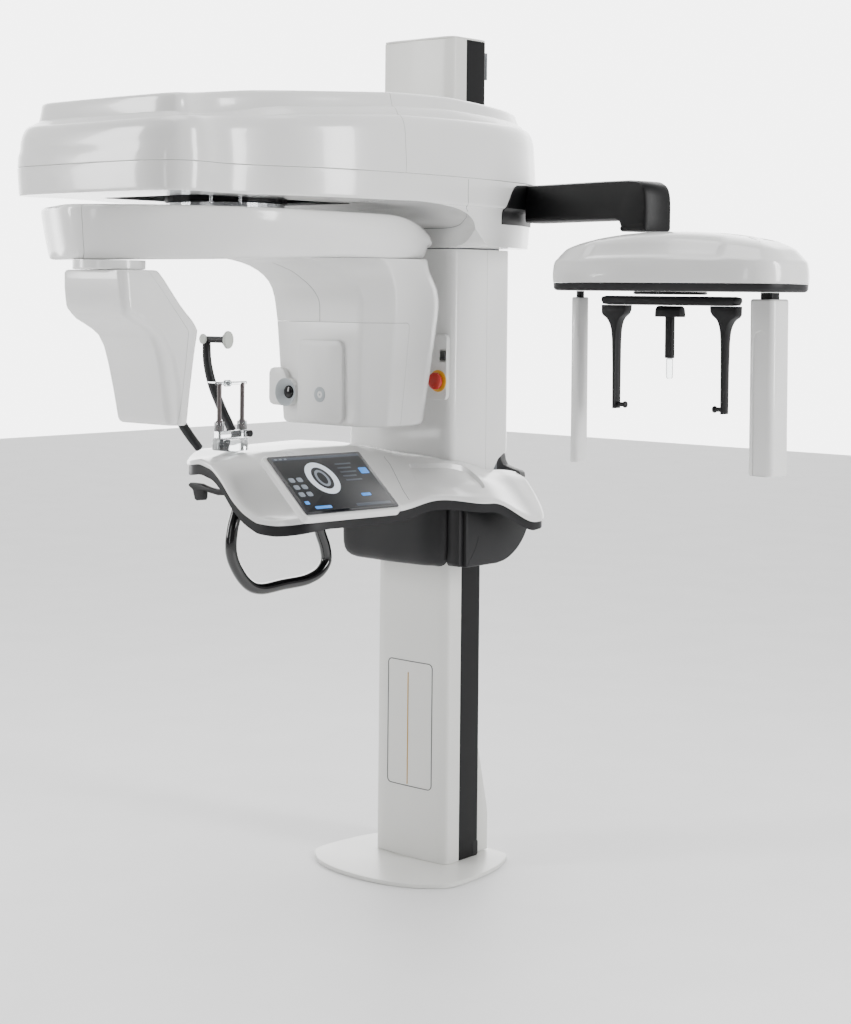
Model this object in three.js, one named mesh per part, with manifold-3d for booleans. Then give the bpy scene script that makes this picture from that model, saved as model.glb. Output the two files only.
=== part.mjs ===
// Panoramic dental x-ray machine with a cephalometric arm.
// Units mm, +Z up. Origin on the floor under the fixed column. -Y is the
// machine front (rotation axis side), +X the side of the cephalometric arm.
import * as THREE from 'three';
import { mergeVertices } from 'three/addons/utils/BufferGeometryUtils.js';
import Module from 'manifold-3d';

const wasm = await Module();
wasm.setup();

const group = new THREE.Group();
group.name = 'panoramic_xray_machine';

// ---------------------------------------------------------------- materials
const WHITE = [0xeeeeec, 0.25, 0.0], WARM = [0xe2e2dd, 0.35, 0.0], BLACK = [0x1b1b1d, 0.5, 0.0];
const GREY = [0x3c3c3e, 0.5, 0.0], STEEL = [0xb8bcc0, 0.3, 0.9], DARKSTEEL = [0x55585c, 0.4, 0.7];
const CLEAR = [0xe6eef2, 0.1, 0.0], RED = [0xc8281e, 0.35, 0.0], GLASS = [0x0a0b0e, 0.08, 0.0];
const PAD = [0xc9ccc6, 0.6, 0.0], GLOSSBLACK = [0x111113, 0.15, 0.0];

function put(name, geom, m) {
  const g = new THREE.BufferGeometry();
  const src = geom.index ? geom.toNonIndexed() : geom;
  g.setAttribute('position', src.getAttribute('position').clone());
  const merged = mergeVertices(g, 1e-3);
  const flat = merged.toNonIndexed();
  flat.computeVertexNormals();
  const mesh = new THREE.Mesh(flat, new THREE.MeshStandardMaterial({ color: m[0], roughness: m[1], metalness: m[2] }));
  mesh.name = name;
  group.add(mesh);
  return mesh;
}

// ---------------------------------------------------------------- booleans
function toM(geom) {
  const g = new THREE.BufferGeometry();
  const src = geom.index ? geom.toNonIndexed() : geom;
  g.setAttribute('position', src.getAttribute('position').clone());
  const m = mergeVertices(g, 1e-3);
  const idx = [];
  const a = m.index.array;
  for (let i = 0; i < a.length; i += 3) {
    if (a[i] !== a[i + 1] && a[i + 1] !== a[i + 2] && a[i] !== a[i + 2]) idx.push(a[i], a[i + 1], a[i + 2]);
  }
  return new wasm.Manifold(new wasm.Mesh({
    numProp: 3,
    vertProperties: new Float32Array(m.getAttribute('position').array),
    triVerts: new Uint32Array(idx),
  }));
}
function toG(man) {
  const me = man.getMesh();
  const g = new THREE.BufferGeometry();
  g.setAttribute('position', new THREE.BufferAttribute(new Float32Array(me.vertProperties), 3));
  g.setIndex(new THREE.BufferAttribute(new Uint32Array(me.triVerts), 1));
  return g;
}
const cut = (a, ...bs) => toG(bs.reduce((m, b) => m.subtract(toM(b)), toM(a)));
const join = (a, ...bs) => toG(bs.reduce((m, b) => m.add(toM(b)), toM(a)));
const both = (a, ...bs) => toG(bs.reduce((m, b) => m.intersect(toM(b)), toM(a)));

// ---------------------------------------------------------------- shapes
function box(x0, y0, z0, x1, y1, z1) {
  const g = new THREE.BoxGeometry(x1 - x0, y1 - y0, z1 - z0);
  g.translate((x0 + x1) / 2, (y0 + y1) / 2, (z0 + z1) / 2);
  return g;
}
function roundRectPts(x0, y0, x1, y1, r, n = 3) {
  const out = [];
  const c = [[x1 - r, y0 + r, -90], [x1 - r, y1 - r, 0], [x0 + r, y1 - r, 90], [x0 + r, y0 + r, 180]];
  for (const [cx, cy, a0] of c) for (let i = 0; i <= n; i++) {
    const a = (a0 + 90 * i / n) * Math.PI / 180;
    out.push([cx + r * Math.cos(a), cy + r * Math.sin(a)]);
  }
  return out;
}
// rings of the same length, outward winding, closed by fans
function loft(rings) {
  const n = rings[0].length;
  const P = [];
  const tri = (a, b, c) => P.push(...a, ...b, ...c);
  for (let k = 0; k + 1 < rings.length; k++) for (let i = 0; i < n; i++) {
    const j = (i + 1) % n;
    const a = rings[k][i], b = rings[k][j], c = rings[k + 1][j], d = rings[k + 1][i];
    tri(a, b, c); tri(a, c, d);
  }
  const mid = r => [0, 1, 2].map(q => r.reduce((s, p) => s + p[q], 0) / n);
  const m0 = mid(rings[0]), m1 = mid(rings[rings.length - 1]), last = rings[rings.length - 1];
  for (let i = 0; i < n; i++) {
    const j = (i + 1) % n;
    tri(m0, rings[0][j], rings[0][i]);
    tri(m1, last[i], last[j]);
  }
  const g = new THREE.BufferGeometry();
  g.setAttribute('position', new THREE.BufferAttribute(new Float32Array(P), 3));
  return g;
}
const ringZ = (pts, z) => pts.map(([x, y]) => [x, y, typeof z === 'function' ? z(x, y) : z]);
function offset(pts, o) {                       // inward offset of a CCW outline
  const n = pts.length;
  return pts.map((p, i) => {
    const a = pts[(i + n - 1) % n], b = pts[(i + 1) % n];
    const dx = b[0] - a[0], dy = b[1] - a[1], l = Math.hypot(dx, dy) || 1;
    return [p[0] - dy / l * o, p[1] + dx / l * o];
  });
}
// prism with small edge rounding top and bottom
function slab(pts, z0, z1, e = 3) {
  const q = offset(pts, e);
  return loft([ringZ(q, z0), ringZ(pts, z0 + e), ringZ(pts, z1 - e), ringZ(q, z1)]);
}
const prism = (pts, z0, z1) => loft([ringZ(pts, z0), ringZ(pts, z1)]);
function circle(cx, cy, r, n = 20) {
  return Array.from({ length: n }, (_, i) => [cx + r * Math.cos(2 * Math.PI * i / n), cy + r * Math.sin(2 * Math.PI * i / n)]);
}
// polygon in the YZ plane extruded along X
function extrudeX(yz, x0, x1) {
  const s = new THREE.Shape(yz.map(([y, z]) => new THREE.Vector2(y, z)));
  const g = new THREE.ExtrudeGeometry(s, { depth: x1 - x0, bevelEnabled: false });
  const p = g.getAttribute('position');
  for (let i = 0; i < p.count; i++) {
    const y = p.getX(i), z = p.getY(i), x = p.getZ(i) + x0;
    p.setXYZ(i, x, y, z);
  }
  return g;
}
// polygon in the XZ plane extruded along Y (from y0 to y1)
function extrudeY(xz, y0, y1) {
  const s = new THREE.Shape(xz.map(([x, z]) => new THREE.Vector2(x, z)));
  const g = new THREE.ExtrudeGeometry(s, { depth: y1 - y0, bevelEnabled: false });
  const p = g.getAttribute('position');
  for (let i = 0; i < p.count; i++) {
    const x = p.getX(i), z = p.getY(i), y = y1 - p.getZ(i);
    p.setXYZ(i, x, y, z);
  }
  return g;
}
// round or flat bar along a path
function sweep(path, r, n = 10, flat = 1, upv = [0, 0, 1]) {
  const V = path.map(p => new THREE.Vector3(...p));
  const rings = V.map((p, i) => {
    const t = new THREE.Vector3().subVectors(V[Math.min(i + 1, V.length - 1)], V[Math.max(i - 1, 0)]).normalize();
    const s = new THREE.Vector3().crossVectors(t, new THREE.Vector3(...upv)).normalize();
    const u = new THREE.Vector3().crossVectors(s, t).normalize();
    const ri = Array.isArray(r) ? r[i] : r;
    return Array.from({ length: n }, (_, k) => {
      const a = 2 * Math.PI * (k + 0.5) / n;
      const q = p.clone().addScaledVector(s, Math.cos(a) * ri).addScaledVector(u, Math.sin(a) * ri * flat);
      return [q.x, q.y, q.z];
    });
  });
  return loft(rings.map(R => R.slice().reverse()).reverse().map(R => R));
}
function outward(g) {                           // make a closed mesh face outward
  const p = (g.index ? g.toNonIndexed() : g).getAttribute('position');
  let v = 0;
  for (let i = 0; i < p.count; i += 3) {
    const a = new THREE.Vector3().fromBufferAttribute(p, i), b = new THREE.Vector3().fromBufferAttribute(p, i + 1), c = new THREE.Vector3().fromBufferAttribute(p, i + 2);
    v += a.dot(b.clone().cross(c));
  }
  if (v < 0) {
    for (let i = 0; i < p.count; i += 3) {
      const b = new THREE.Vector3().fromBufferAttribute(p, i + 1), c = new THREE.Vector3().fromBufferAttribute(p, i + 2);
      p.setXYZ(i + 1, c.x, c.y, c.z); p.setXYZ(i + 2, b.x, b.y, b.z);
    }
  }
  const out = new THREE.BufferGeometry();
  out.setAttribute('position', p);
  return out;
}
function spline(pts, n, closed = false) {
  const c = new THREE.CatmullRomCurve3(pts.map(p => new THREE.Vector3(p[0], p[1], p[2] || 0)), closed, 'centripetal');
  const out = c.getSpacedPoints(n).map(p => [p.x, p.y, p.z]);
  return closed ? out.slice(0, n) : out;
}
function table(t) {
  return v => {
    if (v <= t[0][0]) return t[0][1];
    for (let i = 1; i < t.length; i++) if (v <= t[i][0]) {
      const f = (v - t[i - 1][0]) / (t[i][0] - t[i - 1][0]);
      return t[i - 1][1] + f * (t[i][1] - t[i - 1][1]);
    }
    return t[t.length - 1][1];
  };
}
function rod(x0, y0, z0, x1, y1, z1, r, n = 14) {
  const up = Math.abs(z1 - z0) > Math.hypot(x1 - x0, y1 - y0) ? [1, 0, 0] : [0, 0, 1];
  return outward(sweep([[x0, y0, z0], [x1, y1, z1]], r, n, 1, up));
}

// closed profile [[r, z], ...] turned about a vertical axis, r = 0 at both ends
function turned(profile, x, y, n = 40) {
  const rings = profile.slice(1, -1).map(([r, z]) => circle(x, y, r, n).map(([a, b]) => [a, b, z]));
  return outward(loft(rings));
}

// ================================================================ fixed part
const baseCCW = [[0, -338], [90, -331], [172, -304], [230, -264], [262, -216], [266, -170], [262, -87], [246, 0], [223, 60], [198, 108], [168, 122], [-168, 122], [-198, 108], [-223, 60], [-246, 0], [-262, -87], [-266, -170], [-262, -216], [-230, -264], [-172, -304], [-90, -331]];
put('base_plate', slab(baseCCW, 0, 12, 2), WARM);

const colFront = [[-137, -43], [-137, -92], [-129, -100], [-104, -104], [-60, -106.5], [0, -107], [60, -106.5], [104, -104], [129, -100], [137, -92], [137, -43]];
const colFrontIn = [[131, -43], [131, -90], [124, -95], [0, -101], [-124, -95], [-131, -90], [-131, -43]];
put('column_front_profile', cut(prism(colFront.concat([]), 12.3, 2396), prism([[-131, -60], [-131, -90], [-124, -95], [0, -101], [124, -95], [131, -90], [131, -60], [131, -20], [-131, -20]], 0, 2500)), WARM);
const colRear = [[-134, -42.7], [134, -42.7], [134, 43], [128, 51], [-128, 51], [-134, 43]];
put('column_rear_profile', cut(prism(colRear, 12.3, 2396), prism([[-128, -60], [128, -60], [128, 45], [-128, 45]], 0, 2500)), BLACK);
put('column_top_cap', slab([[-137, -92], [-129, -100], [0, -107], [129, -100], [137, -92], [137, 43], [130, 51], [-130, 51], [-137, 43]], 2396.3, 2402, 1.5), WARM);
put('wall_bracket', join(box(-60, 51.3, 2300, 60, 58, 2385), box(-14, 57, 2330, 14, 140, 2350), box(-60, 138, 2300, 60, 145, 2380)), DARKSTEEL);
put('rear_cable_cover', extrudeX([[51.3, 14], [110, 14], [110, 130], [60, 330], [51.3, 340]], -90, 120), WARM);
{
  // thin plate standing proud of the convex front face
  const s = roundRectPts(-91, 216, 86, 588, 12, 3);
  put('label_plate', outward(extrudeY(s, -109.6, -107.3)), WARM);
}
put('lift_screw', rod(0, 5, 60, 0, 5, 2300, 14, 12), STEEL);

// ================================================================ carriage
put('carriage_frame', cut(prism([[-172, -150], [172, -150], [172, 72], [-172, 72]], 1010, 1990),
  prism([[-141, -111], [141, -111], [141, 55], [-141, 55]], 900, 2100)), DARKSTEEL);
const cfOut = [[-203, -18.3], [-203, -150], [-194, -165], [-178, -171], [-100, -175], [0, -176.5], [100, -175], [178, -171], [194, -165], [203, -150], [203, -18.3]];
const cfIn = [[-197, 10], [-197, -148], [-190, -160], [-176, -165], [0, -170.5], [176, -165], [190, -160], [197, -148], [197, 10]];
put('carriage_front_cover', cut(prism(cfOut, 1000, 1788), prism(cfIn, 900, 1900)), WHITE);
const crOut = [[203, -18], [203, 70], [190, 88], [165, 93], [-165, 93], [-190, 88], [-203, 70], [-203, -18]];
const crIn = [[197, -40], [197, 68], [187, 82], [163, 87], [-163, 87], [-187, 82], [-197, 68], [-197, -40]];
put('carriage_rear_cover', cut(prism(crOut, 1120, 1788), prism(crIn, 900, 1900)), WHITE);
{
  const s = roundRectPts(120, 1360, 194, 1545, 14, 3);
  const body = both(outward(extrudeY(s, -186, -160)), prism([[90, -186], [200, -186], [200, -166], [178, -171.4], [90, -175.9]], 1300, 1600));
  put('estop_panel', cut(body, rod(164, -190, 1413, 164, -177, 1413, 17, 16), box(168, -195, 1468, 192, -177.5, 1502)), WHITE);
}
put('e_stop_button', join(rod(164, -181.4, 1413, 164, -193, 1413, 15, 16), rod(164, -192.5, 1413, 164, -208, 1413, 24, 20)), RED);
put('power_rocker', box(171, -190, 1472, 189, -181, 1498), GLOSSBLACK);

// crane housing
const half = [[0, -1345], [140, -1342], [245, -1332], [302, -1300], [322, -1240], [308, -1150], [328, -1050], [372, -945], [412, -800], [432, -646], [438, -500], [430, -340], [400, -160], [350, -6], [290, 85], [180, 104], [0, 107]];
const headPts = spline(half.concat(half.slice(1, -1).reverse().map(([x, y]) => [-x, y])), 60, true).map(p => [p[0], p[1]]);
const zS = table([[-1345, 2050], [-1317, 2055], [-943, 2082], [-641, 2101], [-70, 2113], [115, 2105]]);
const zR = table([[-1290, 2088], [-1230, 2085], [-1094, 2101], [-968, 2120], [-774, 2132], [-604, 2144], [-404, 2151], [-69, 2146], [115, 2140]]);
const zT = table([[-1282, 2132], [-1221, 2136], [-1033, 2157], [-797, 2169], [-620, 2180], [-393, 2185], [-61, 2176], [115, 2170]]);
const hr = (o, f) => ringZ(offset(headPts, o), (x, y) => (typeof f === 'number' ? f : f(y)));
const upperOuter = loft([hr(0, 1970.2), hr(7, y => zS(y) - 40), hr(15, zS), hr(30, y => zS(y) + 0.62 * (zR(y) - zS(y))), hr(50, zR), hr(60, zT), hr(74, y => zT(y) + 3)]);
const upperInner = loft([hr(7, 1950), hr(22, y => zS(y) - 10), hr(58, y => zR(y) - 10), hr(80, y => zT(y) - 6)]);
const colHole = box(-143, -114, 1700, 143, 58, 2500);
const upper = cut(upperOuter, upperInner, colHole);
put('crane_upper_cover_front', both(upper, box(-600, -1500, 1900, 600, -630.2, 2300)), WHITE);
put('crane_upper_cover_rear', both(upper, box(-600, -629.8, 1900, 600, 300, 2300)), WHITE);
const sideCut = [[-1500, 1899], [-554, 1899], [-440, 1890], [-385, 1874], [-350, 1856], [-310, 1826], [-270, 1800], [-235, 1790.3], [200, 1790.3], [200, 1969.8], [-1500, 1969.8]];
// clearance turned about the rotation axis, so the rotor sweeps under the cove
const sweepCut = turned([[0, 1700], [672, 1700], [672, 1842], [664, 1860], [645, 1874], [600, 1889], [526, 1898], [0, 1898]], 0, -857, 48);
const sweepCutIn = turned([[0, 1700], [678, 1700], [678, 1844], [669, 1865], [648, 1880], [602, 1895], [528, 1904.5], [0, 1904.5]], 0, -857, 48);
const lowerOuter = cut(both(loft([hr(22, 1780), hr(12, 1895), hr(4, 1915), hr(0, 1975)]), outward(extrudeX(sideCut, -600, 600))), sweepCut);
const sideCutIn = [[-1500, 1906], [-554, 1906], [-440, 1898], [-385, 1882], [-350, 1864], [-310, 1834], [-270, 1808], [-230, 1797], [200, 1797], [200, 1990], [-1500, 1990]];
const lowerInner = cut(both(loft([hr(30, 1780), hr(20, 1895), hr(12, 1915), hr(8, 2000)]), outward(extrudeX(sideCutIn, -600, 600))), sweepCutIn);
const carriageHole = box(-176, -154, 1700, 176, 76, 2100);
const stageHole = box(-190, -1130, 1850, 190, -560, 1925);
const lower = cut(lowerOuter, lowerInner, carriageHole, stageHole);
put('crane_lower_cover_front', both(lower, box(-600, -1500, 1700, 600, -790.2, 2300)), WHITE);
put('crane_lower_cover_rear', both(lower, box(-600, -789.8, 1700, 600, 300, 2300)), WHITE);
put('crane_frame', cut(join(box(-150, -1200, 1942, 150, -150.3, 1962), box(-150, -700, 1961, -130, -150.3, 2040), box(130, -700, 1961, 150, -150.3, 2040)),
  box(-75, -1050, 1900, 75, -700, 2000)), DARKSTEEL);
put('y_rail_left', box(-145, -1100, 1930, -120, -600, 1941.7), STEEL);
put('y_rail_right', box(120, -1100, 1930, 145, -600, 1941.7), STEEL);

// cephalometric arm
const dirA = [0.976, -0.217];
{
  const a1 = [815, -108], w = 48, nx = 0.217, ny = 0.976;
  const pt = (t, s) => [a1[0] + t * dirA[0] + s * nx, a1[1] + t * dirA[1] + s * ny];
  const bar = [pt(-470, -w), pt(-40, -w), pt(36, -w), pt(55, -w + 20), pt(55, w - 20), pt(36, w), pt(-40, w), pt(-470, w)];
  const body = slab(bar, 1862, 1966, 9);
  const leg = slab([pt(-50, -w), pt(36, -w), pt(55, -w + 20), pt(55, w - 20), pt(36, w), pt(-50, w)], 1828, 1930, 1);
  const grown = loft([hr(-0.4, 1700), hr(-0.4, 2300)]);
  put('ceph_arm', cut(join(body, leg), grown), BLACK);
}
// cephalometric head
const cx = 955, cy = -165;
const cephPts = spline([[-352, 0], [-346, -66], [-318, -108], [-215, -140], [0, -155], [215, -140], [318, -108], [346, -66], [352, 0], [346, 66], [318, 108], [215, 140], [0, 155], [-215, 140], [-318, 108], [-346, 66]].map(([x, y]) => [x + cx, y + cy]), 40, true).map(p => [p[0], p[1]]);
const cr = (o, f) => ringZ(offset(cephPts, o), f);
const lift = (x, k) => k * Math.max(0, 1 - Math.pow(Math.abs(x - cx) / 352, 2.2));
put('ceph_head_cover', cut(loft([cr(2, 1693.3), cr(0, 1725), cr(14, x => 1738 + lift(x, 18)), cr(34, x => 1770 + lift(x, 28)), cr(75, x => 1782 + lift(x, 42))]),
  loft([cr(10, 1680), cr(10, 1722), cr(44, x => 1755 + lift(x, 28)), cr(80, x => 1770 + lift(x, 38))])), WHITE);
put('ceph_base_trim', loft([cr(16, 1672), cr(4, 1676), cr(2, 1693)]), BLACK);

// ================================================================ slewing stage
const AY = -857;
put('stage_plate', cut(slab(roundRectPts(-150, AY - 170, 150, AY + 170, 20, 2), 1914, 1929.7, 1), prism(circle(0, AY, 62, 20), 1900, 1950)), DARKSTEEL);
put('slew_bearing', cut(prism(circle(0, AY, 160, 32), 1892, 1913.7), prism(circle(0, AY, 62, 20), 1800, 1950)), GREY);
put('rotation_motor', join(prism(roundRectPts(-50, AY - 160, 50, AY - 75, 12, 2), 1930, 1941), prism(circle(0, AY - 118, 40, 18), 1940, 2030)), GREY);
put('rotor_hub', join(prism(circle(0, AY, 58, 20), 1872, 1940), prism(circle(0, AY, 155, 32), 1872, 1889)), STEEL);

// ================================================================ rotor
const Z1 = 1871;
const beamCtl = [[0, -512], [130, -425], [238, -289], [298, -130], [309, -20], [302, 150], [283, 330], [252, 480], [205, 590], [128, 622], [0, 636], [-128, 622], [-205, 590], [-252, 480], [-283, 330], [-302, 150], [-309, -20], [-305, -200], [-285, -375], [-150, -458]];
const beamPts = spline(beamCtl, 44, true).map(p => [p[0], p[1] + AY]);
const topDrop = y => { const t = Math.max(0, (y - AY - 330) / 320); return 88 * t * t; };
const br = (o, z) => ringZ(offset(beamPts, o), (x, y) => z - topDrop(y) * (z > 1800 ? 1 : 0));
const beamAll = loft([br(36, 1736), br(22, 1741), br(10, 1800), br(0, Z1 - 14), br(5, Z1 - 4), br(16, Z1)]);
// the outer end is a separate cap, cut on an upright plane
const capCut = prism([[60, AY - 560], [20, AY - 487], [-330, AY - 335], [-500, AY - 500], [-300, AY - 700], [0, AY - 700]].reverse().map(p => p), 1600, 2000);
const capTool = outward(capCut);
put('rotor_end_cap', both(beamAll, capTool), WHITE);
{
  const grown = outward(prism([[60.5, AY - 560], [20.4, AY - 486.6], [-330, AY - 334.4], [-500, AY - 500], [-300, AY - 700], [0, AY - 700]].reverse(), 1600, 2000));
  put('rotor_beam_cover', cut(beamAll, grown, prism(circle(0, AY, 120, 24), 1860, 1900)), WHITE);
}
put('source_tube_head', join(prism(roundRectPts(-60, AY + 400, 95, AY + 520, 20, 2), 1340, 1520), prism(circle(17, AY + 460, 40, 16), 1519, 1560)), DARKSTEEL);
// source housing: rings of [x, y] from bottom to top, same count
const srcRing = (xa, xb, yi, xo, yc, yo) => {
  const xl = xa - (xo - xb) * 0.75, m = (xa + xb) / 2;
  return [[xa + 12, yi], [xb - 12, yi], [xb - 2, yi + 5], [xo - 5, yc - 8], [xo, yc + 8], [xo + 1, (yc + yo) / 2 - 20], [xo - 5, yo - 66], [xo - 34, yo - 19], [m, yo], [xl + 34, yo - 19], [xl + 5, yo - 66], [xl - 1, (yc + yo) / 2 - 20], [xl, yc + 8], [xl + 5, yc - 8], [xa + 2, yi + 5]].map(([x, y]) => [x, y + AY]);
};
const srcBody = loft([ringZ(srcRing(-122, 168, 350, 218, 404, 584), 1296), ringZ(srcRing(-130, 176, 342, 226, 402, 591), 1304), ringZ(srcRing(-155, 192, 338, 249, 400, 621), 1579), ringZ(srcRing(-165, 194, 335.4, 252, 399, 623), 1645), ringZ(srcRing(-180, 192.6, 327, 248, 394, 609), 1690), ringZ(srcRing(-205, 191, 295, 243, 384, 592), 1722), ringZ(srcRing(-240, 190, 225, 240, 355, 586), 1738)]);
const srcIn = prism(roundRectPts(-90, AY + 380, 125, AY + 545, 20, 2), 1310, 1640);
const srcCover = outward(extrudeX([[AY + 200, 1250], [AY + 441, 1250], [AY + 449, 1562], [AY + 439, 1579], [AY + 200, 1579]], -400, 400));
const srcCoverG = outward(extrudeX([[AY + 199, 1249], [AY + 441.4, 1249], [AY + 449.5, 1562.2], [AY + 439.3, 1579.4], [AY + 199, 1579.4]], -400, 400));
put('source_inner_cover', cut(both(srcBody, srcCover), srcIn), WHITE);
put('source_outer_cover', cut(srcBody, srcCoverG, srcIn, beamAll, box(-400, AY, 1735.7, 400, AY + 700, 1800)), WHITE);
const srcGap = srcBody.clone().translate(0, -0.35, 0);
put('source_front_panel', cut(outward(extrudeY(roundRectPts(-57, 1303, 114, 1530, 18, 3), AY + 328, AY + 345)), srcGap), WHITE);
put('camera_pod', cut(join(rod(-98, AY + 322, 1382, -98, AY + 352, 1382, 39, 20), box(-164, AY + 325, 1345, -100, AY + 352, 1450)), srcGap, box(-57.5, AY + 300, 1290, -20, AY + 360, 1500)), WHITE);

// ================================================================ detector head
const NX = 20, NY = AY - 408;
put('detector_neck', join(prism(circle(NX, NY, 90, 24), 1711.5, 1735.5), prism(circle(NX, NY, 29.2, 12), 1690, 1712)), WHITE);
const dRing = (xa, xb, ya, yb, z) => ringZ(roundRectPts(xa, ya + AY, xb, yb + AY, 22, 2), z);
const detAll = loft([dRing(-88, 128, -288, -240, 1326), dRing(-92, 132, -300, -236, 1340), dRing(-97, 137, -330, -222, 1480), dRing(-98, 138, -378, -209, 1561), dRing(-99, 139, -448, -248, 1606), dRing(-99, 139, -462, -300, 1665), dRing(-97, 137, -466, -336, 1706), dRing(-92, 132, -462, -340, 1711)]);
const slabTool = outward(extrudeX([[AY - 100, 1300], [AY - 276, 1300], [AY - 250, 1561], [AY - 382, 1711.2], [AY - 382, 1800], [AY - 100, 1800]], -300, 300));
const slabToolG = outward(extrudeX([[AY - 99, 1299], [AY - 276.4, 1299], [AY - 250.5, 1561.3], [AY - 382.4, 1711.6], [AY - 382.4, 1801], [AY - 99, 1801]], -300, 300));
const neckPocket = prism(circle(NX, NY, 31, 12), 1688, 1720);
put('detector_inner_cover', cut(both(detAll, slabTool), box(-75, AY - 290, 1352, 115, AY - 240, 1503), neckPocket, prism(circle(NX, NY, 31, 12), 1688, 1720)), WHITE);
put('detector_outer_cover', cut(detAll, slabToolG, neckPocket), WHITE);
put('flat_panel_sensor', box(-72, AY - 249, 1355, 112, AY - 240.4, 1500), GREY);

// ================================================================ shelf
// surface height over the plan
const front = table([[-130, 1208], [-90, 1214], [0, 1226], [50, 1214], [90, 1184], [130, 1141], [170, 1111], [215, 1090], [265, 1086], [330, 1088]]);
const mid = table([[-160, 1236], [-60, 1240], [40, 1236], [120, 1205], [200, 1158], [280, 1122], [350, 1100]]);
const mid2 = table([[-200, 1236], [-60, 1240], [40, 1236], [120, 1208], [200, 1168], [280, 1138], [350, 1117]]);
const near = table([[-200, 1200], [0, 1205], [150, 1198], [215, 1190], [300, 1142], [352, 1090]]);
const rear = table([[200, 1158], [252, 1138], [300, 1098], [362, 1026]]);
function shelfZ(x, y) {
  const rows = [[-930, front], [-800, mid], [-560, mid], [-400, mid2], [-172, near], [20, rear], [110, v => rear(v) - 8]];
  let i = 0;
  while (i < rows.length - 2 && y > rows[i + 1][0]) i++;
  let f = (y - rows[i][0]) / (rows[i + 1][0] - rows[i][0]);
  f = Math.max(0, Math.min(1, f)); f = f * f * (3 - 2 * f);
  return rows[i][1](x) * (1 - f) + rows[i + 1][1](x) * f;
}
// plan outline of the shelf
const shelfPlan = [[-90, -905], [-40, -935], [50, -945], [170, -948], [265, -932], [330, -880], [352, -740], [352, -550], [350, -400], [352, -220], [358, -60], [362, 20], [350, 70], [300, 105], [252, 110], [212, 104], [208, 80], [208, -60], [208, -183], [-150, -183], [-186, -200], [-203, -260], [-205, -360], [-190, -500], [-165, -650], [-146, -780], [-124, -860]];
const shelfCCW = shelfPlan;
function sheet(plan, zTop, zBot, step = 70) {
  // grid clipped to the plan, thick body between two height functions
  const g = [];
  const xs = [], ys = [];
  for (let x = -240; x <= 400; x += step) xs.push(x);
  for (let y = -980; y <= 160; y += step) ys.push(y);
  const P = [];
  const tri = (a, b, c) => P.push(...a, ...b, ...c);
  const v = (i, j, f) => [xs[i], ys[j], f(xs[i], ys[j])];
  for (let i = 0; i + 1 < xs.length; i++) for (let j = 0; j + 1 < ys.length; j++) {
    tri(v(i, j, zTop), v(i + 1, j, zTop), v(i + 1, j + 1, zTop)); tri(v(i, j, zTop), v(i + 1, j + 1, zTop), v(i, j + 1, zTop));
    tri(v(i, j, zBot), v(i + 1, j + 1, zBot), v(i + 1, j, zBot)); tri(v(i, j, zBot), v(i, j + 1, zBot), v(i + 1, j + 1, zBot));
  }
  const e = (a, b) => { tri([...a, zBot(...a)], [...b, zBot(...b)], [...b, zTop(...b)]); tri([...a, zBot(...a)], [...b, zTop(...b)], [...a, zTop(...a)]); };
  for (let i = 0; i + 1 < xs.length; i++) {
    e([xs[i], ys[0]], [xs[i + 1], ys[0]]);
    e([xs[i + 1], ys[ys.length - 1]], [xs[i], ys[ys.length - 1]]);
  }
  for (let j = 0; j + 1 < ys.length; j++) {
    e([xs[xs.length - 1], ys[j]], [xs[xs.length - 1], ys[j + 1]]);
    e([xs[0], ys[j + 1]], [xs[0], ys[j]]);
  }
  const geo = new THREE.BufferGeometry();
  geo.setAttribute('position', new THREE.BufferAttribute(new Float32Array(P), 3));
  return both(outward(geo), outward(prism(plan, 800, 1400)));
}
put('shelf_top_cover', sheet(shelfCCW, shelfZ, (x, y) => shelfZ(x, y) - 14), WHITE);
put('shelf_edge_trim', sheet(offset(shelfCCW, 5), (x, y) => shelfZ(x, y) - 14.4, (x, y) => shelfZ(x, y) - 42), GREY);
// boxes under the shelf
const fb = [[-160, -224], [0, -234], [150, -226], [198, -206], [206, -196], [206, -178.6], [-184, -178.6], [-184, -196]];
const fbr = (o, z) => ringZ(fb.map(([x, y]) => [x * (1 - o / 220) + 2 * o / 220, Math.min(-178.6, y + o * 0.8)]), z);
put('shelf_front_bracket', loft([fbr(40, 886), fbr(8, 905), fbr(0, 960), fbr(0, 1120)]), GREY);
put('shelf_side_bracket', cut(outward(extrudeX([[-172, 890], [-30, 890], [30, 906], [80, 940], [112, 985], [112, 1020], [-172, 1020]], 206.4, 262)), box(190, -185, 1200, 200, -180, 1250)), GREY);
// screen
{
  const T = 39 * Math.PI / 180, A = -5 * Math.PI / 180;
  const ax = new THREE.Vector3(-Math.sin(A), Math.cos(A), 0);           // along the screen, about +Y
  const out = new THREE.Vector3(Math.cos(A), Math.sin(A), 0);           // facing side
  const n = new THREE.Vector3().copy(out).multiplyScalar(Math.sin(T)).addScaledVector(new THREE.Vector3(0, 0, 1), Math.cos(T));
  const up = new THREE.Vector3().crossVectors(n, ax);
  const M = new THREE.Matrix4().makeBasis(ax, up, n).setPosition(285, -735, 1172);
  const plate = (w, h, r, z0, z1, e) => { const g = slab(roundRectPts(-w / 2, -h / 2, w / 2, h / 2, r, 3), z0, z1, e); g.applyMatrix4(M); return outward(g); };
  const foot = outward(prism(roundRectPts(200, -800, 300, -670, 15, 2), 1050, 1165));
  const shelfBody = sheet(shelfCCW, (x, y) => shelfZ(x, y) + 0.4, (x, y) => shelfZ(x, y) - 300);
  put('touch_screen_housing', cut(plate(334, 230, 16, -26, -4.3, 4), shelfBody), WHITE);
  put('touch_screen_glass', plate(316, 210, 6, -4, 0, 1), GLASS);
}
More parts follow.
